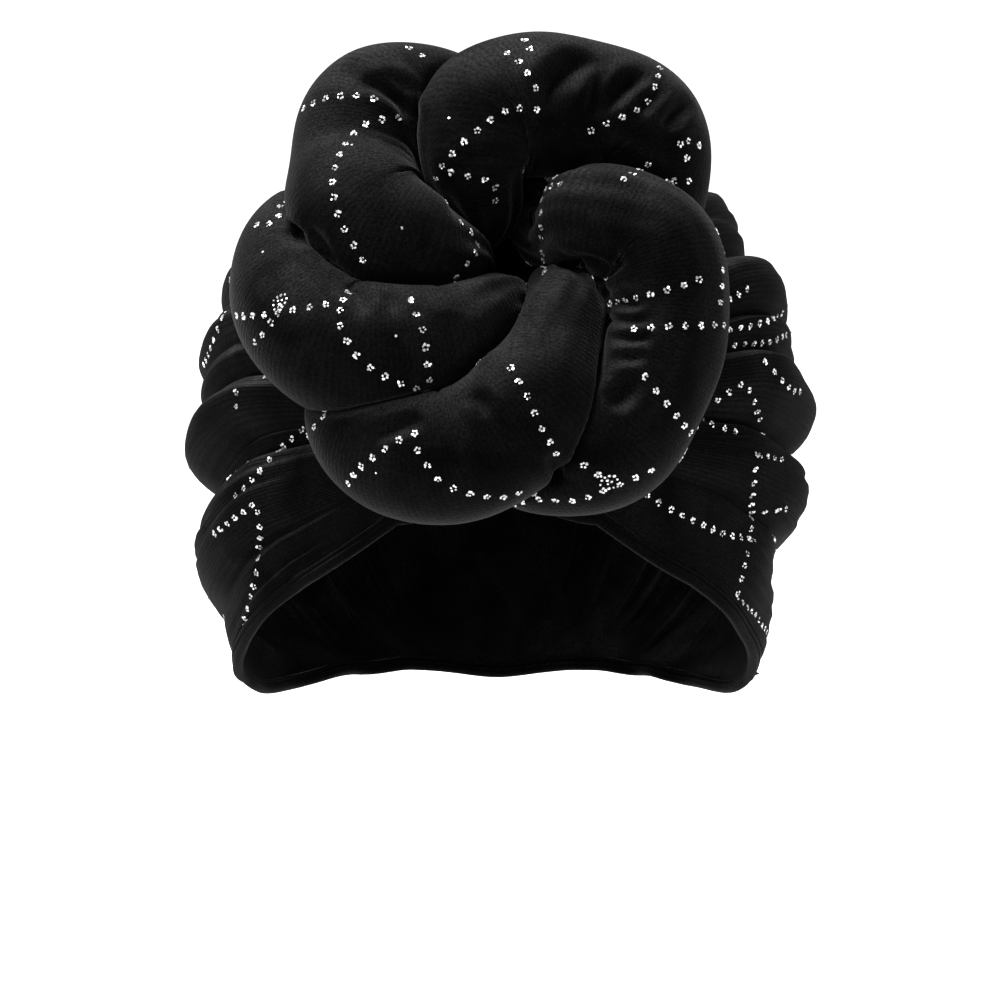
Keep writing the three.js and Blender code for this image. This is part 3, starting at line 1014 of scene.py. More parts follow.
def soft_least(one: np.ndarray, other: np.ndarray, blend: float) -> np.ndarray:
    """The lesser of two reaches, rounded off where they cross.

    Args:
        one: The first reach.
        other: The second reach.
        blend: How wide the rounding is, in millimetres.

    Returns:
        A reach that is never above either.
    """
    least = np.minimum(one, other)
    apart = np.clip(np.abs(one - other) / blend, 0.0, 40.0)
    return least - blend * np.log1p(np.exp(-apart))


@dataclass(frozen=True)
class PhotoView:
    """The camera: where it stands and how it looks at the headwrap."""

    distance: float = 1300.0
    elevation: float = 12.0
    aim: Place = (0.9, 0.0, 56.6)
    focal_pixels: float = 4251.0
    sensor: float = 36.0
    frame: float = 1000.0
    sight: float = 50.0

    def directions(self) -> tuple[np.ndarray, np.ndarray, np.ndarray]:
        """The view's directions: right, up and forwards.

        Returns:
            Three directions of length 1.
        """
        tilt = math.radians(self.elevation)
        right = np.array([1.0, 0.0, 0.0])
        up = np.array([0.0, math.sin(tilt), math.cos(tilt)])
        return right, up, np.array([0.0, math.cos(tilt), -math.sin(tilt)])

    def place(self) -> np.ndarray:
        """Where the camera stands, in millimetres."""
        return np.array(self.aim) - self.distance * self.directions()[2]

    def ray(self, x: float, y: float) -> np.ndarray:
        """The direction in which the camera sees a pixel.

        Args:
            x: The pixel, from the left.
            y: The pixel, from the top.

        Returns:
            A direction of length 1.
        """
        right, up, forwards = self.directions()
        half = self.frame / 2.0
        return unit(forwards + (right * (x - half) + up * (half - y)) / self.focal_pixels)

    def follow(self, tree: BVHTree, pixels: Pixels) -> Dots:
        """Follow a line of the photograph over a surface.

        Args:
            tree: The surface.
            pixels: The pixels that the line passes through.

        Returns:
            Close places in millimetres, each with the surface's outward direction.
        """
        start = Vector(self.place() * MM)
        steps = []
        for x, y in pixel_steps(pixels):
            place, normal, _, _ = tree.ray_cast(start, Vector(self.ray(x, y)))
            if place is not None:
                steps.append((np.array(place) / MM, np.array(normal)))
        return steps

    def build(self) -> bpy.types.Object:
        """Add the camera and make it the scene's own.

        Returns:
            The camera.
        """
        data = bpy.data.cameras.new("camera")
        data.sensor_width = self.sensor
        data.lens = self.focal_pixels * self.sensor / self.frame
        data.clip_end = self.sight
        camera = bpy.data.objects.new("camera", data)
        camera.location = Vector(self.place() * MM)
        camera.rotation_euler = (math.radians(90.0 - self.elevation), 0.0, 0.0)
        bpy.context.scene.collection.objects.link(camera)
        bpy.context.scene.camera = camera
        return camera


@dataclass(frozen=True)
class Crease:
    """One crease of the roll, given by pixels that it passes through in the photograph."""

    name: str
    pixels: Pixels
    depth: float
    width: float


ROLL_CREASES = (
    Crease("upper_left_notch", ((360, 77), (386, 88), (403, 102), (411, 120)), 3.6, 2.4),
    Crease("upper_left_notch_high", ((384, 70), (402, 82), (414, 96)), 2.6, 2.0),
    Crease("upper_left_side", ((330, 66), (350, 74), (372, 92)), 1.2, 3.4),
    Crease("upper_left_low", ((300, 214), (312, 222), (330, 228)), 0.8, 3.4),
    Crease("left_shoulder", ((286, 232), (302, 234), (316, 240), (334, 262)), 2.6, 2.6),
    Crease("left_lip", ((346, 283), (358, 295), (365, 314)), 1.6, 2.4),
    Crease("left_lip_second", ((381, 293), (392, 300), (396, 314)), 1.2, 2.4),
    Crease("left_middle", ((448, 312), (454, 342), (458, 374)), 1.8, 4.0),
    Crease("left_edge", ((262, 262), (274, 286), (276, 312)), 0.9, 4.2),
    Crease("left_belly", ((310, 350), (336, 376), (366, 392)), 1.0, 4.0),
    Crease("top_bulge_edge", ((596, 56), (572, 68), (556, 86), (549, 112)), 4.2, 3.6),
    Crease("top_gather_first", ((606, 70), (596, 92), (591, 118)), 2.8, 2.2),
    Crease("top_gather_second", ((648, 72), (622, 90), (602, 116)), 3.8, 2.5),
    Crease("top_gather_third", ((668, 86), (646, 104), (628, 124)), 2.0, 2.2),
    Crease("top_gather_corner", ((692, 98), (677, 114), (662, 130)), 3.4, 2.4),
    Crease("top_low_fold", ((604, 122), (640, 136), (678, 158)), 2.2, 2.6),
    Crease("top_face", ((452, 96), (470, 118), (478, 146)), 0.8, 4.6),
    Crease("right_elbow", ((562, 264), (592, 262), (616, 274)), 2.0, 2.8),
    Crease("right_elbow_high", ((582, 236), (604, 248), (624, 268)), 1.4, 3.0),
    Crease("right_inner_first", ((606, 300), (624, 304), (644, 306)), 2.0, 1.9),
    Crease("right_inner_second", ((612, 318), (630, 321), (648, 322)), 1.8, 1.8),
    Crease("right_inner_third", ((614, 336), (632, 339), (652, 338)), 2.0, 1.9),
    Crease("right_inner_fourth", ((616, 356), (632, 357), (648, 354)), 1.6, 1.8),
    Crease("right_inner_low", ((610, 408), (626, 394), (636, 372)), 2.6, 2.8),
    Crease("bottom_lip", ((370, 441), (396, 428), (424, 419)), 2.0, 2.2),
    Crease("bottom_lip_inner", ((474, 392), (483, 403), (487, 418)), 1.5, 2.2),
    Crease("bottom_dent", ((466, 426), (486, 440), (488, 466)), 0.8, 5.0),
    Crease("bottom_right_end", ((548, 456), (556, 468), (560, 484)), 2.0, 2.2),
)


@dataclass(frozen=True)
class PrintLine:
    """One row of printed dots, given by pixels that it passes through in the photograph."""

    name: str
    pixels: Pixels
    form: PrintForm = PrintForm.DOT


ROSETTE_PRINT = (
    PrintLine("upper_left_rim", ((304, 108), (327, 98), (359, 96), (389, 103))),
    PrintLine("upper_left_arc", ((398, 118), (366, 124), (342, 150), (333, 183), (341, 222), (371, 273))),
    PrintLine("upper_left_tip", ((461, 222), (475, 238), (476, 251), (465, 267), (451, 283))),
    PrintLine("upper_left_top", ((409, 48), (429, 60))),
    PrintLine("left_across", ((237, 316), (264, 315), (311, 307), (341, 301), (349, 290))),
    PrintLine("left_down", ((340, 310), (340, 325), (356, 355), (388, 378), (429, 392))),
    PrintLine("left_second", ((411, 300), (423, 332), (427, 362), (430, 384))),
    PrintLine("left_branch", ((280, 308), (264, 333), (254, 343))),
    PrintLine("left_top", ((257, 225), (277, 221), (281, 200))),
    PrintLine("bottom_left_edge", ((323, 417), (313, 428))),
    PrintLine("bottom_left_arc", ((348, 483), (363, 465), (401, 439), (420, 432))),
    PrintLine("bottom_sweep", ((418, 450), (439, 480), (471, 494), (505, 497), (526, 490))),
    PrintLine("bottom_inner", ((511, 368), (528, 398), (541, 427), (555, 451), (559, 462))),
    PrintLine("right_bottom", ((539, 499), (573, 501), (604, 491), (632, 479), (655, 469))),
    PrintLine("right_bottom_start", ((584, 465), (600, 476))),
    PrintLine("right_lower", ((645, 377), (670, 408), (692, 434))),
    PrintLine("right_middle", ((634, 329), (673, 326), (724, 325))),
    PrintLine("right_upper", ((609, 304), (644, 296), (679, 287), (711, 275))),
    PrintLine("right_rim", ((723, 270), (722, 287), (720, 305))),
    PrintLine("right_inner_top", ((560, 184), (545, 190), (541, 211), (542, 247), (545, 274))),
    PrintLine("top_arc", ((436, 178), (445, 162), (472, 135), (508, 110), (541, 109))),
    PrintLine("top_foot", ((451, 172), (476, 178), (494, 184), (495, 206))),
    PrintLine("top_left", ((536, 88), (517, 60), (496, 48))),
    PrintLine("top_rim", ((530, 49), (524, 40))),
    PrintLine("top_right", ((660, 68), (655, 87), (643, 106), (606, 124), (576, 137))),
    PrintLine("top_corner", ((687, 158), (680, 139), (700, 146))),
    PrintLine("top_lower", ((648, 165), (620, 181))),
    PrintLine("top_lower_right", ((674, 181), (690, 181))),
)
ROSETTE_FLOWERS = (
    PrintLine("left_flower", ((280, 302),), PrintForm.FLOWER),
    PrintLine("bottom_flower", ((609, 482),), PrintForm.FLOWER),
    PrintLine("stray_upper_left", ((402, 228), (352, 145)), PrintForm.STRAY),
    PrintLine("stray_left", ((396, 336), (263, 252)), PrintForm.STRAY),
    PrintLine("stray_bottom_and_top", ((376, 473), (449, 118)), PrintForm.STRAY),
)
CAP_PRINT = (
    PrintLine("left_slant", ((302, 430), (275, 455), (250, 482), (232, 500))),
    PrintLine("left_down", ((258, 512), (260, 540), (255, 580), (247, 610), (238, 650))),
    PrintLine("left_fold", ((222, 318), (212, 345), (203, 368))),
    PrintLine("left_fold_short", ((236, 392), (236, 420))),
    PrintLine("left_tip", ((252, 505), (213, 535))),
    PrintLine("right_sweep", ((640, 490), (658, 502), (686, 517), (722, 533), (756, 540))),
    PrintLine("right_down", ((757, 455), (752, 500), (750, 540), (742, 575), (736, 600))),
    PrintLine("right_edge", ((737, 597), (752, 612), (768, 634))),
    PrintLine("right_fold_high", ((728, 300), (755, 285))),
    PrintLine("right_fold_second", ((730, 330), (765, 322), (785, 312))),
    PrintLine("right_fold_third", ((735, 345), (770, 342), (786, 335))),
    PrintLine("right_slant", ((718, 400), (745, 385), (760, 420))),
    PrintLine("right_outer", ((765, 362), (790, 388), (800, 392))),
    PrintLine("right_low", ((760, 455), (785, 460))),
    PrintLine("right_under", ((700, 420), (735, 432))),
    PrintLine("right_fifth", ((765, 512), (793, 508))),
)


@dataclass
class GlitterPrint:
    """Silver specks bonded to the velvet in rows of small dots."""

    view: PhotoView
    pitch: float = 4.8
    dot_radius: float = 0.76
    speck: float = 0.37
    speck_height: float = 0.16
    sink: float = 0.1
    tilt: float = 0.3
    speck_corners: int = 6
    flower_radius: float = 2.4
    flower_heart: int = 3
    heart_radius: float = 0.75
    heart_turn: float = 2.1
    dot_wander: float = 0.25
    # How much the specks' places and sizes vary, as shares
    dot_spread: Span = (0.72, 1.18)
    flower_spread: Span = (0.8, 1.1)
    speck_sizes: Span = (0.7, 1.3)
    corner_sizes: Span = (0.82, 1.12)
    # Odd directions, which the turns of dots and of specks are counted from
    dot_side: Place = (0.31, 0.2, 0.93)
    speck_side: Place = (0.3, 0.9, 0.31)
    leap: float = 9.0
    grazing: float = 0.12
    near_sight: float = 7.0
    on_cloth: float = 0.6

    def trace(self, tree: BVHTree, line: PrintLine) -> Dots:
        """Follow a row over the cloth as the camera sees it.

        Args:
            tree: The cloth's surface.
            line: The row.

        Returns:
            The place and outward direction of each dot.
        """
        dots = []
        run, due, last = 0.0, 0.0, None
        for here, normal in self.view.follow(tree, line.pixels):
            step = 0.0 if last is None else float(np.linalg.norm(here - last))
            last = here
            run += min(step, self.leap)
            if run >= due:
                dots.append((here, normal))
                due = run + self.pitch
        return dots

    def specks(
        self, dots: list[tuple[np.ndarray, np.ndarray, PrintForm]], seed: int
    ) -> tuple[np.ndarray, list]:
        """Lay the specks of many dots on the cloth.

        Args:
            dots: The place, outward direction and form of each dot.
            seed: The seed of the specks' turns and sizes.

        Returns:
            The corners and the faces of all specks.
        """
        random = np.random.default_rng(seed)
        corners, faces = [], []
        for place, normal, form in dots:
            aside = unit(np.cross(normal, self.dot_side))
            ahead = np.cross(normal, aside)
            spin = random.uniform(0.0, 2.0 * math.pi)
            for number in range(form.value):
                radius, turn = self.speck_place(form, number, spin, random)
                middle = place + radius * (aside * math.cos(turn) + ahead * math.sin(turn))
                lean = unit(normal + self.tilt * (aside * random.normal() + ahead * random.normal()))
                self.add_speck(corners, faces, middle, lean, random)
        return np.array(corners), faces

    def speck_place(
        self, form: PrintForm, number: int, spin: float, random: np.random.Generator
    ) -> tuple[float, float]:
        """Where one speck of a dot lies: its distance and its turn round the dot's middle.

        Args:
            form: The dot's form.
            number: The speck's number in the dot.
            spin: The dot's own turn.
            random: The source of random numbers.

        Returns:
            The distance in millimetres and the turn.
        """
        if form is PrintForm.STRAY:
            return 0.0, 0.0
        if form is PrintForm.DOT:
            turn = spin + 2.0 * math.pi * number / form.value + random.normal(0.0, self.dot_wander)
            return self.dot_radius * random.uniform(*self.dot_spread), turn
        if number < self.flower_heart:
            return self.heart_radius, spin + self.heart_turn * number
        turn = spin + 2.0 * math.pi * number / (form.value - self.flower_heart)
        return self.flower_radius * random.uniform(*self.flower_spread), turn

    def add_speck(
        self, corners: list, faces: list, middle: np.ndarray, lean: np.ndarray, random: np.random.Generator
    ) -> None:
        """Add one thin speck.

        Args:
            corners: The corners so far, which the speck's are added to.
            faces: The faces so far, which the speck's are added to.
            middle: Where the speck lies.
            lean: The direction that it faces.
            random: The source of random numbers.
        """
        aside = unit(np.cross(lean, self.speck_side))
        ahead = np.cross(lean, aside)
        base, count = len(corners), self.speck_corners
        size = self.speck * random.uniform(*self.speck_sizes)
        for level in (-self.sink, self.speck_height):
            for corner in range(count):
                turn = 2.0 * math.pi * corner / count
                radius = size * random.uniform(*self.corner_sizes)
                shift = radius * (aside * math.cos(turn) + ahead * math.sin(turn))
                corners.append(middle + shift + lean * level)
        above = base + count
        faces.append(tuple(above - 1 - corner for corner in range(count)))
        faces.append(tuple(above + corner for corner in range(count)))
        for corner in range(count):
            beside = (corner + 1) % count
            faces.append((base + corner, base + beside, above + beside, above + corner))

    def seen(self, tree: BVHTree, place: np.ndarray, normal: np.ndarray) -> bool:
        """Whether the camera sees a place on the cloth, or nearly so.

        Args:
            tree: The surface of all the cloth.
            place: The place.
            normal: The cloth's outward direction there.

        Returns:
            True where it is seen.
        """
        start = self.view.place()
        ray = unit(place - start)
        if ray @ normal > self.grazing:
            return False
        hit, _, _, _ = tree.ray_cast(Vector(start * MM), Vector(ray))
        return hit is not None and np.linalg.norm(np.array(hit) / MM - place) < self.near_sight

    def build(
        self, name: str, lines: tuple[PrintLine, ...], own: BVHTree, all_cloth: BVHTree,
        hidden: Dots, seed: int,
    ) -> bpy.types.Object:
        """Print one piece of cloth.

        Args:
            name: The name of the print's piece.
            lines: The rows that the photograph shows.
            own: The surface of the cloth that is printed.
            all_cloth: The surface of all the cloth, which can hide a place.
            hidden: Dots of the rows on the sides that the photograph doesn't show.
            seed: The seed of the specks.

        Returns:
            The print, all specks in one mesh.
        """
        dots = []
        for line in lines:
            if line.form is PrintForm.DOT:
                rows = [line]
            else:
                rows = [PrintLine(line.name, (pixel,)) for pixel in line.pixels]
            for row in rows:
                dots += [(place, normal, line.form) for place, normal in self.trace(all_cloth, row)]
        near = self.on_cloth * MM
        dots = [dot for dot in dots if own.find_nearest(Vector(dot[0] * MM))[3] < near]
        unseen = [dot for dot in hidden if not self.seen(all_cloth, *dot)]
        dots += [(place, normal, PrintForm.DOT) for place, normal in unseen]
        corners, faces = self.specks(dots, seed)
        LOG.info("%s: %d dots, %d specks", name, len(dots), len(corners) // (2 * self.speck_corners))
        return mesh_piece(name, corners, faces)


def pixel_steps(pixels: Pixels) -> list[tuple[float, float]]:
    """Draw a smooth line through pixels and read it about twice a pixel.

    Args:
        pixels: The pixels that the line passes through.

    Returns:
        The places along the line.
    """
    points = np.array(pixels, dtype=float)
    if len(points) == 1:
        return [tuple(points[0])]
    before = np.concatenate([2 * points[:1] - points[1:2], points[:-1]])
    after = np.concatenate([points[1:], 2 * points[-1:] - points[-2:-1]])
    slope = 0.5 * (after - before)
    steps = int(2 * np.linalg.norm(np.diff(points, axis=0), axis=1).max())
    places = hermite(points[:-1], points[1:], slope[:-1], slope[1:], steps)
    return [tuple(place) for place in places] + [tuple(points[-1])]


class FinishNodes:
    """A new material and the nodes that make its finish."""

    def __init__(self, name: str) -> None:
        """Start the material with its shader and its coordinates.

        Args:
            name: The material's name.
        """
        self.material = bpy.data.materials.new(name)
        self.material.use_nodes = True
        self.shader = self.material.node_tree.nodes["Principled BSDF"]
        self.place = self.add("TexCoord", {}).outputs

    def fill(self, node: bpy.types.Node, sockets: dict[str | int, object]) -> None:
        """Fill a node's sockets: link those that get another socket, and set the others.

        Args:
            node: The node.
            sockets: What each socket gets.
        """
        for key, value in sockets.items():
            if isinstance(value, bpy.types.NodeSocket):
                self.material.node_tree.links.new(value, node.inputs[key])
            else:
                node.inputs[key].default_value = value

    def add(self, kind: str, sockets: dict[str | int, object], operation: str = "") -> bpy.types.Node:
        """Add a shader node.

        Args:
            kind: The node's kind.
            sockets: What its sockets get.
            operation: What it works out, if it has a choice.

        Returns:
            The node.
        """
        node = self.material.node_tree.nodes.new("ShaderNode" + kind)
        if operation:
            node.operation = operation
        self.fill(node, sockets)
        return node

    def noise(self, scale: float, detail: float = 2.0, distortion: float = 0.0) -> Socket:
        """Cloudy noise that is fixed to the piece.

        Args:
            scale: How often it turns, for each metre.
            detail: How many finer layers it has.
            distortion: How far it is drawn out of shape.

        Returns:
            The noise, about 0 to 1.
        """
        sockets = {"Vector": self.place["Object"], "Scale": scale}
        sockets |= {"Detail": detail, "Distortion": distortion}
        return self.add("TexNoise", sockets).outputs["Fac"]

    def work(self, operation: str, one: Socket, other: Socket | float = 0.0) -> Socket:
        """Work out a number from one or two others."""
        return self.add("Math", {0: one, 1: other}, operation).outputs[0]

    def facing(self, towards: Place) -> Socket:
        """How far the surface faces a direction, from -1 to 1.

        Args:
            towards: The direction.

        Returns:
            The share of it.
        """
        sockets = {0: self.place["Normal"], 1: towards}
        return self.add("VectorMath", sockets, "DOT_PRODUCT").outputs["Value"]

    def span(self, value: Socket, source: Span, target: Span, ease: bool = False) -> Socket:
        """Stretch a span of numbers to another one.

        Args:
            value: The number to stretch.
            source: The span that it comes from.
            target: The span that it goes to.
            ease: Whether it eases in and out.

        Returns:
            The stretched number.
        """
        sockets = {"Value": value, "From Min": source[0], "From Max": source[1]}
        node = self.add("MapRange", sockets | {"To Min": target[0], "To Max": target[1]})
        if ease:
            node.interpolation_type = "SMOOTHSTEP"
        return node.outputs["Result"]

    def bump(self, height: Socket, strength: float, depth: float, under: Socket | None = None) -> Socket:
        """Bump the surface.

        Args:
            height: The pattern of heights.
            strength: How much of it is used.
            depth: The depth in millimetres.
            under: The bump that this one lies on.

        Returns:
            The bumped direction.
        """
        sockets = {"Height": height, "Strength": strength, "Distance": depth * MM}
        if under is not None:
            sockets["Normal"] = under
        return self.add("Bump", sockets).outputs["Normal"]


@dataclass(frozen=True)
class VelvetFinish:
    """Black stretch velvet: dark pile, soft sheen, knitted ribs, crushed patches, painted top light and
    rib shade.
    """

    name: str
    dark: float = 0.0005
    light: float = 0.0024
    sheen: float = 0.053
    sheen_roughness: float = 0.34
    sheen_tint: Colour = (0.93, 0.95, 1.0, 1.0)
    roughness: float = 0.72
    specular: float = 0.01
    patch_scale: float = 55.0
    patch_span: Span = (0.35, 0.7)
    rib_pitch: float = 1.05
    rib_depth: float = 0.05
    rib_strength: float = 0.5
    # Painted shade and highlight: the base colour is darker in the rib hollows and lighter on the crests
    rib_shade_contrast: float = 0.16
    # Painted top light: the base colour is lighter where the surface faces upwards, standing in for light
    # from above
    painted_top_light: float = 0.015
    painted_light_towards: Place = (-0.2, 0.1, 0.97)
    painted_light_span: Span = (0.3, 1.0)
    pile_scale: float = 1400.0
    pile_span: Span = (0.35, 0.65)
    pile_contrast: float = 0.55
    pile_depth: float = 0.8
    pile_strength: float = 0.45

    def build(self) -> bpy.types.Material:
        """Make the material.

        Returns:
            A material whose ribs follow the cloth's own UV map.
        """
        nodes = FinishNodes(self.name)
        patches = nodes.noise(self.patch_scale, detail=4.0, distortion=0.6)
        shade = nodes.span(patches, self.patch_span, (self.dark, self.light))
        # Painted top light: a lighter base colour on faces that point upwards
        upward = nodes.facing(self.painted_light_towards)
        top_light_paint = nodes.span(upward, self.painted_light_span, (0.0, self.painted_top_light), ease=True)
        tone = nodes.work("ADD", shade, nodes.work("MULTIPLY", top_light_paint, patches))
        across = nodes.add("SeparateXYZ", {"Vector": nodes.place["UV"]}).outputs["X"]
        turns = nodes.work("MULTIPLY", across, 2.0 * math.pi * MAP_UNIT / self.rib_pitch)
        ribs = nodes.work("SINE", turns)
        # Painted rib shade: darker colour in the hollows of the bumped ribs, lighter on their crests
        rib_shade_tones = (1.0 - self.rib_shade_contrast, 1.0 + self.rib_shade_contrast)
        tone = nodes.work("MULTIPLY", tone, nodes.span(ribs, (-1.0, 1.0), rib_shade_tones))
        pile = nodes.noise(self.pile_scale, detail=3.0)
        pile_tones = (1.0 - self.pile_contrast, 1.0 + self.pile_contrast)
        tone = nodes.work("MULTIPLY", tone, nodes.span(pile, self.pile_span, pile_tones))
        ribbed = nodes.bump(ribs, self.rib_strength, self.rib_depth)
        nodes.fill(nodes.shader, {
            "Base Color": tone,
            "Roughness": self.roughness,
            "Specular IOR Level": self.specular,
            "Sheen Weight": self.sheen,
            "Sheen Roughness": self.sheen_roughness,
            "Sheen Tint": self.sheen_tint,
            "Normal": nodes.bump(pile, self.pile_strength, self.pile_depth, under=ribbed),
        })
        return nodes.material


@dataclass(frozen=True)
class GlitterFinish:
    """Silver foil specks with uneven gloss and tone."""

    name: str = "silver_glitter"
    metallic: float = 0.75
    grain_scale: float = 900.0
    grain_span: Span = (0.3, 0.7)
    tones: Span = (0.2, 0.85)
    roughness: Span = (0.23, 0.58)

    def build(self) -> bpy.types.Material:
        """Make the material.

        Returns:
            A material whose gloss and tone change from speck to speck.
        """
        nodes = FinishNodes(self.name)
        grain = nodes.noise(self.grain_scale)
        nodes.fill(nodes.shader, {
            "Base Color": nodes.span(grain, self.grain_span, self.tones),
            "Metallic": self.metallic,
            "Roughness": nodes.span(grain, (0.0, 1.0), self.roughness),
        })
        return nodes.material


@dataclass(frozen=True)
class Studio:
    """A plain pale floor and soft light."""

    floor_drop: float = 260.0
    floor_size: float = 14.0
    floor_tone: Colour = (0.97, 0.97, 0.97, 1.0)
    floor_roughness: float = 0.9
    ambient: float = 0.33
    sun_strength: float = 3.1
    sun_angle: float = 32.0
    sun_place: Place = (-0.35, 0.1, 1.0)
    # Columns: name, place and edge in metres, power in watts
    softboxes: tuple[tuple[str, Place, float, float], ...] = (
        ("key", (-0.75, -1.05, 1.35), 1.1, 36.0),
        ("side", (1.35, 0.1, 0.35), 1.0, 12.0),
        ("overhead", (-0.35, 0.1, 1.6), 0.9, 45.0),
    )
    aim: Place = (0.0, 0.0, 0.1)

    def build(self) -> None:
        """Lay the floor, set the pale surroundings and hang the lights."""
        self.lay_floor()
        world = bpy.data.worlds.new("studio")
        bpy.context.scene.world = world
        world.use_nodes = True
        background = world.node_tree.nodes["Background"]
        background.inputs["Color"].default_value = (1.0, 1.0, 1.0, 1.0)
        background.inputs["Strength"].default_value = self.ambient
        bpy.context.scene.view_settings.view_transform = "Standard"
        sky = self.hang("sky", "SUN", self.sun_place, self.sun_strength)
        sky.angle = math.radians(self.sun_angle)
        for name, place, edge, power in self.softboxes:
            self.hang(name, "AREA", place, power).size = edge

    def lay_floor(self) -> None:
        """Lay the floor, which is not part of the headwrap."""
        deselect_all()
        bpy.ops.mesh.primitive_plane_add(size=self.floor_size, location=(0, 0, -self.floor_drop * MM))
        floor = bpy.context.object
        floor.name = "floor"
        nodes = FinishNodes("pale_floor")
        nodes.fill(nodes.shader, {"Base Color": self.floor_tone, "Roughness": self.floor_roughness})
        floor.data.materials.append(nodes.material)

    def hang(self, name: str, kind: str, place: Place, energy: float) -> bpy.types.Light:
        """Hang a light that faces the headwrap.

        Args:
            name: The light's name.
            kind: Blender's kind of light.
            place: Where it hangs, in metres.
            energy: Its strength.

        Returns:
            The light's data.
        """
        data = bpy.data.lights.new(name, kind)
        data.energy = energy
        lamp = bpy.data.objects.new(name, data)
        lamp.location = place
        lamp.rotation_euler = (Vector(self.aim) - lamp.location).to_track_quat("-Z", "Y").to_euler()
        bpy.context.scene.collection.objects.link(lamp)
        return data


def surface(*pieces: bpy.types.Object) -> BVHTree:
    """The faces of some pieces as one surface that rays can meet.

    Args:
        pieces: The pieces.

    Returns:
        The surface, in metres.
    """
    corners: list[Vector] = []
    faces: list[tuple[int, ...]] = []
    for piece in pieces:
        base = len(corners)
        corners += [vertex.co.copy() for vertex in piece.data.vertices]
        faces += [tuple(base + corner for corner in face.vertices) for face in piece.data.polygons]
    return BVHTree.FromPolygons(corners, faces)


def vertex_places(piece: bpy.types.Object) -> np.ndarray:
    """The places of a mesh's vertices in millimetres.

    Args:
        piece: The piece.

    Returns:
        The places, one row for each vertex.
    """
    places = np.empty(3 * len(piece.data.vertices), dtype=np.float32)
    piece.data.vertices.foreach_get("co", places)
    return places.reshape(-1, 3).astype(float) / MM


def vertex_normals(piece: bpy.types.Object) -> np.ndarray:
    """The outward direction at each of a mesh's vertices.

    Args:
        piece: The piece.

    Returns:
        The directions, one row for each vertex.
    """
    normals = np.empty(3 * len(piece.data.vertices), dtype=np.float32)
    piece.data.vertices.foreach_get("normal", normals)
    return normals.reshape(-1, 3).astype(float)


def even_places(places: np.ndarray, pitch: float) -> np.ndarray:
    """Choose places that lie a pitch apart along a line.

    Args:
        places: Close places along the line.
        pitch: The distance to keep, in millimetres.

    Returns:
        The numbers of the chosen places.
    """
    run = np.concatenate([[0.0], np.cumsum(np.linalg.norm(np.diff(places, axis=0), axis=1))])
    chosen = np.searchsorted(run, np.arange(pitch / 2.0, run[-1], pitch))
    return chosen[chosen < len(run)]


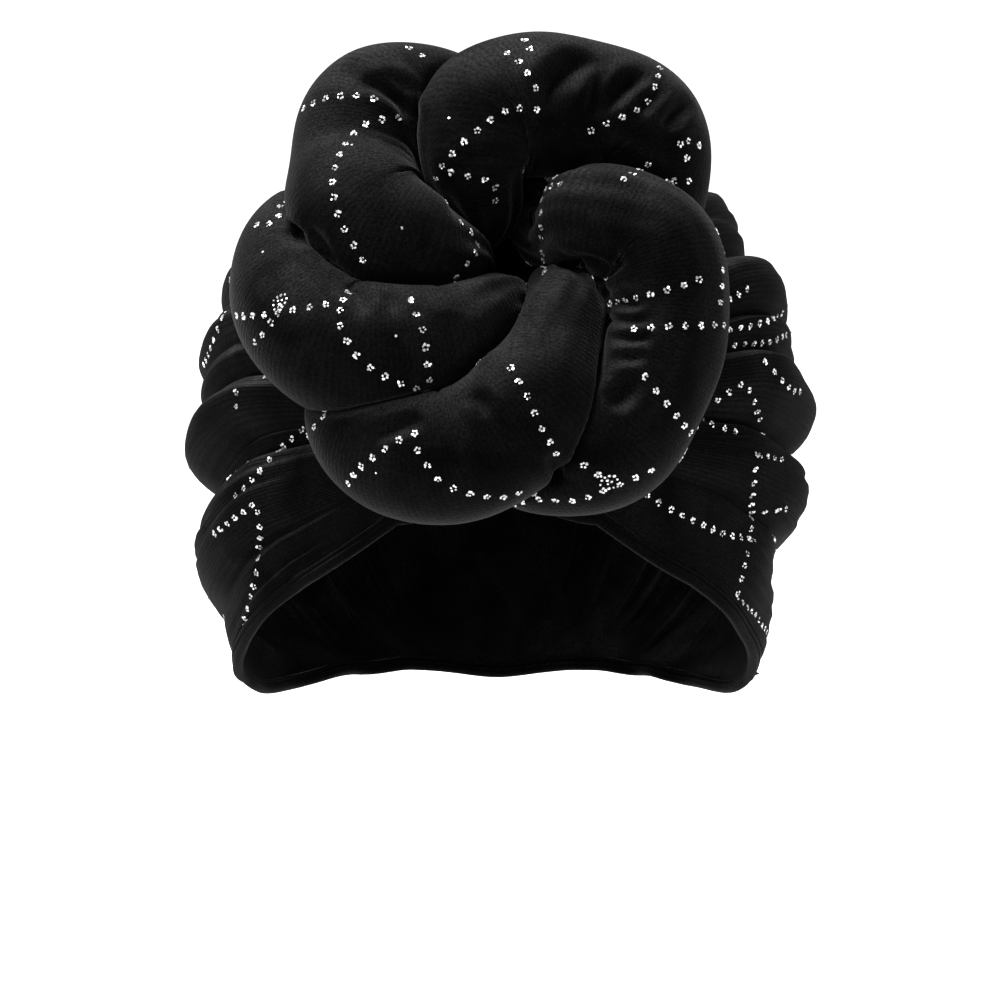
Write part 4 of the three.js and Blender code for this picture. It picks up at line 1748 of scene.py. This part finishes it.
@dataclass(frozen=True)
class DotLattice:
    """Rows of dots that cross over all the velvet, for what the photograph doesn't show."""

    pitch: float
    # Rows over the cap, in degrees: where they cross the middle reach, and how far they slant
    cap_starts: range = range(-220, 221, 34)
    cap_slants: tuple[float, float] = (-1.15, 0.85)
    cap_reaches: Span = (20.0, 162.0)
    cap_step: float = 0.5
    middle_reach: float = 90.0
    sway: float = 5.0
    sway_length: float = 13.0
    front_margin: float = 1.0
    edge_margin: float = 1.5
    roll_turns: float = 9.0
    # Rows round the roll: which way they wind, and the share of a turn where they start
    roll_rows: Table = ((1, 0.0), (1, 0.5), (-1, 0.2), (-1, 0.7))

    def over_cap(self, form: CrownForm) -> Dots:
        """Lay rows over the whole cap in the cloth's own directions.

        Args:
            form: The cap's form.

        Returns:
            The place and outward direction of each dot.
        """
        dots = []
        for start in self.cap_starts:
            for slant in self.cap_slants:
                reach = np.arange(*self.cap_reaches, self.cap_step)
                fan = start + slant * (reach - self.middle_reach)
                fan = fan + self.sway * np.sin(reach / self.sway_length + start)
                on_cloth = np.abs(fan) < form.edge_spread - self.front_margin
                on_cloth &= reach < form.last_reach(np.abs(fan)) - self.edge_margin
                fan, reach = fan[on_cloth], reach[on_cloth]
                if len(fan) < 2:
                    continue
                places, normals = form.point(fan, reach), form.normal(fan, reach)
                dots += [(places[k], normals[k]) for k in even_places(places, self.pitch)]
        return dots

    def round_roll(self, roll: bpy.types.Object, knot: KnotRoll) -> Dots:
        """Wind rows round the whole roll, both ways.

        Args:
            roll: The roll's piece.
            knot: The roll's form.

        Returns:
            The place and outward direction of each dot.
        """
        places, normals = vertex_places(roll), vertex_normals(roll)
        section = np.arange(knot.samples)
        dots = []
        for hand, start in self.roll_rows:
            turn = start + hand * self.roll_turns * section / knot.samples
            row = section * knot.sides + np.rint(turn * knot.sides).astype(int) % knot.sides
            dots += [(places[row[k]], normals[row[k]]) for k in even_places(places[row], self.pitch)]
        return dots


def dress(piece: bpy.types.Object, material: bpy.types.Material) -> None:
    """Give a piece its finish and let it ride with the headwrap.

    Args:
        piece: The piece.
        material: The material of its finish.
    """
    piece.data.materials.clear()
    piece.data.materials.append(material)
    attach(piece, "root")
    LOG.info("%s: %d faces", piece.name, len(piece.data.polygons))


def main() -> None:
    """Build the headwrap round the CAD frame, dress it and light it."""
    logging.basicConfig(level=logging.INFO, format="%(name)s %(message)s")
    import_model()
    view = PhotoView()
    view.build()
    form = CrownForm()
    cap = VelvetCap(form)
    cloth = cap.build()
    hem = FrontHem(cap).build()
    knot = KnotRoll(form)
    roll = knot.build(view, ROLL_CREASES)
    cap_surface, roll_surface, all_cloth = surface(cloth), surface(roll), surface(cloth, roll)
    glitter = GlitterPrint(view)
    lattice = DotLattice(glitter.pitch)
    rows = lattice.over_cap(form)
    cap_glitter = glitter.build("cap_glitter", CAP_PRINT, cap_surface, all_cloth, rows, CAP_SEED)
    rows = lattice.round_roll(roll, knot)
    lines = ROSETTE_PRINT + ROSETTE_FLOWERS
    roll_glitter = glitter.build("roll_glitter", lines, roll_surface, all_cloth, rows, ROLL_SEED)
    # The cap's velvet has stronger painted shade in the rib hollows and stronger painted top light
    cap_finish = VelvetFinish(
        "cap_velvet", sheen=0.012, sheen_roughness=0.3, rib_depth=0.14, rib_shade_contrast=0.45, painted_top_light=0.022
    )
    dress(cloth, cap_finish.build())
    dress(hem, VelvetFinish("hem_velvet", light=0.0012, sheen=0.02).build())
    dress(roll, VelvetFinish("roll_velvet", rib_pitch=1.1).build())
    silver = GlitterFinish().build()
    dress(cap_glitter, silver)
    dress(roll_glitter, silver)
    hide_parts("crown")
    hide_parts("front_hem")
    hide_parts("knot_roll")
    Studio().build()


if __name__ == "__main__":
    main()
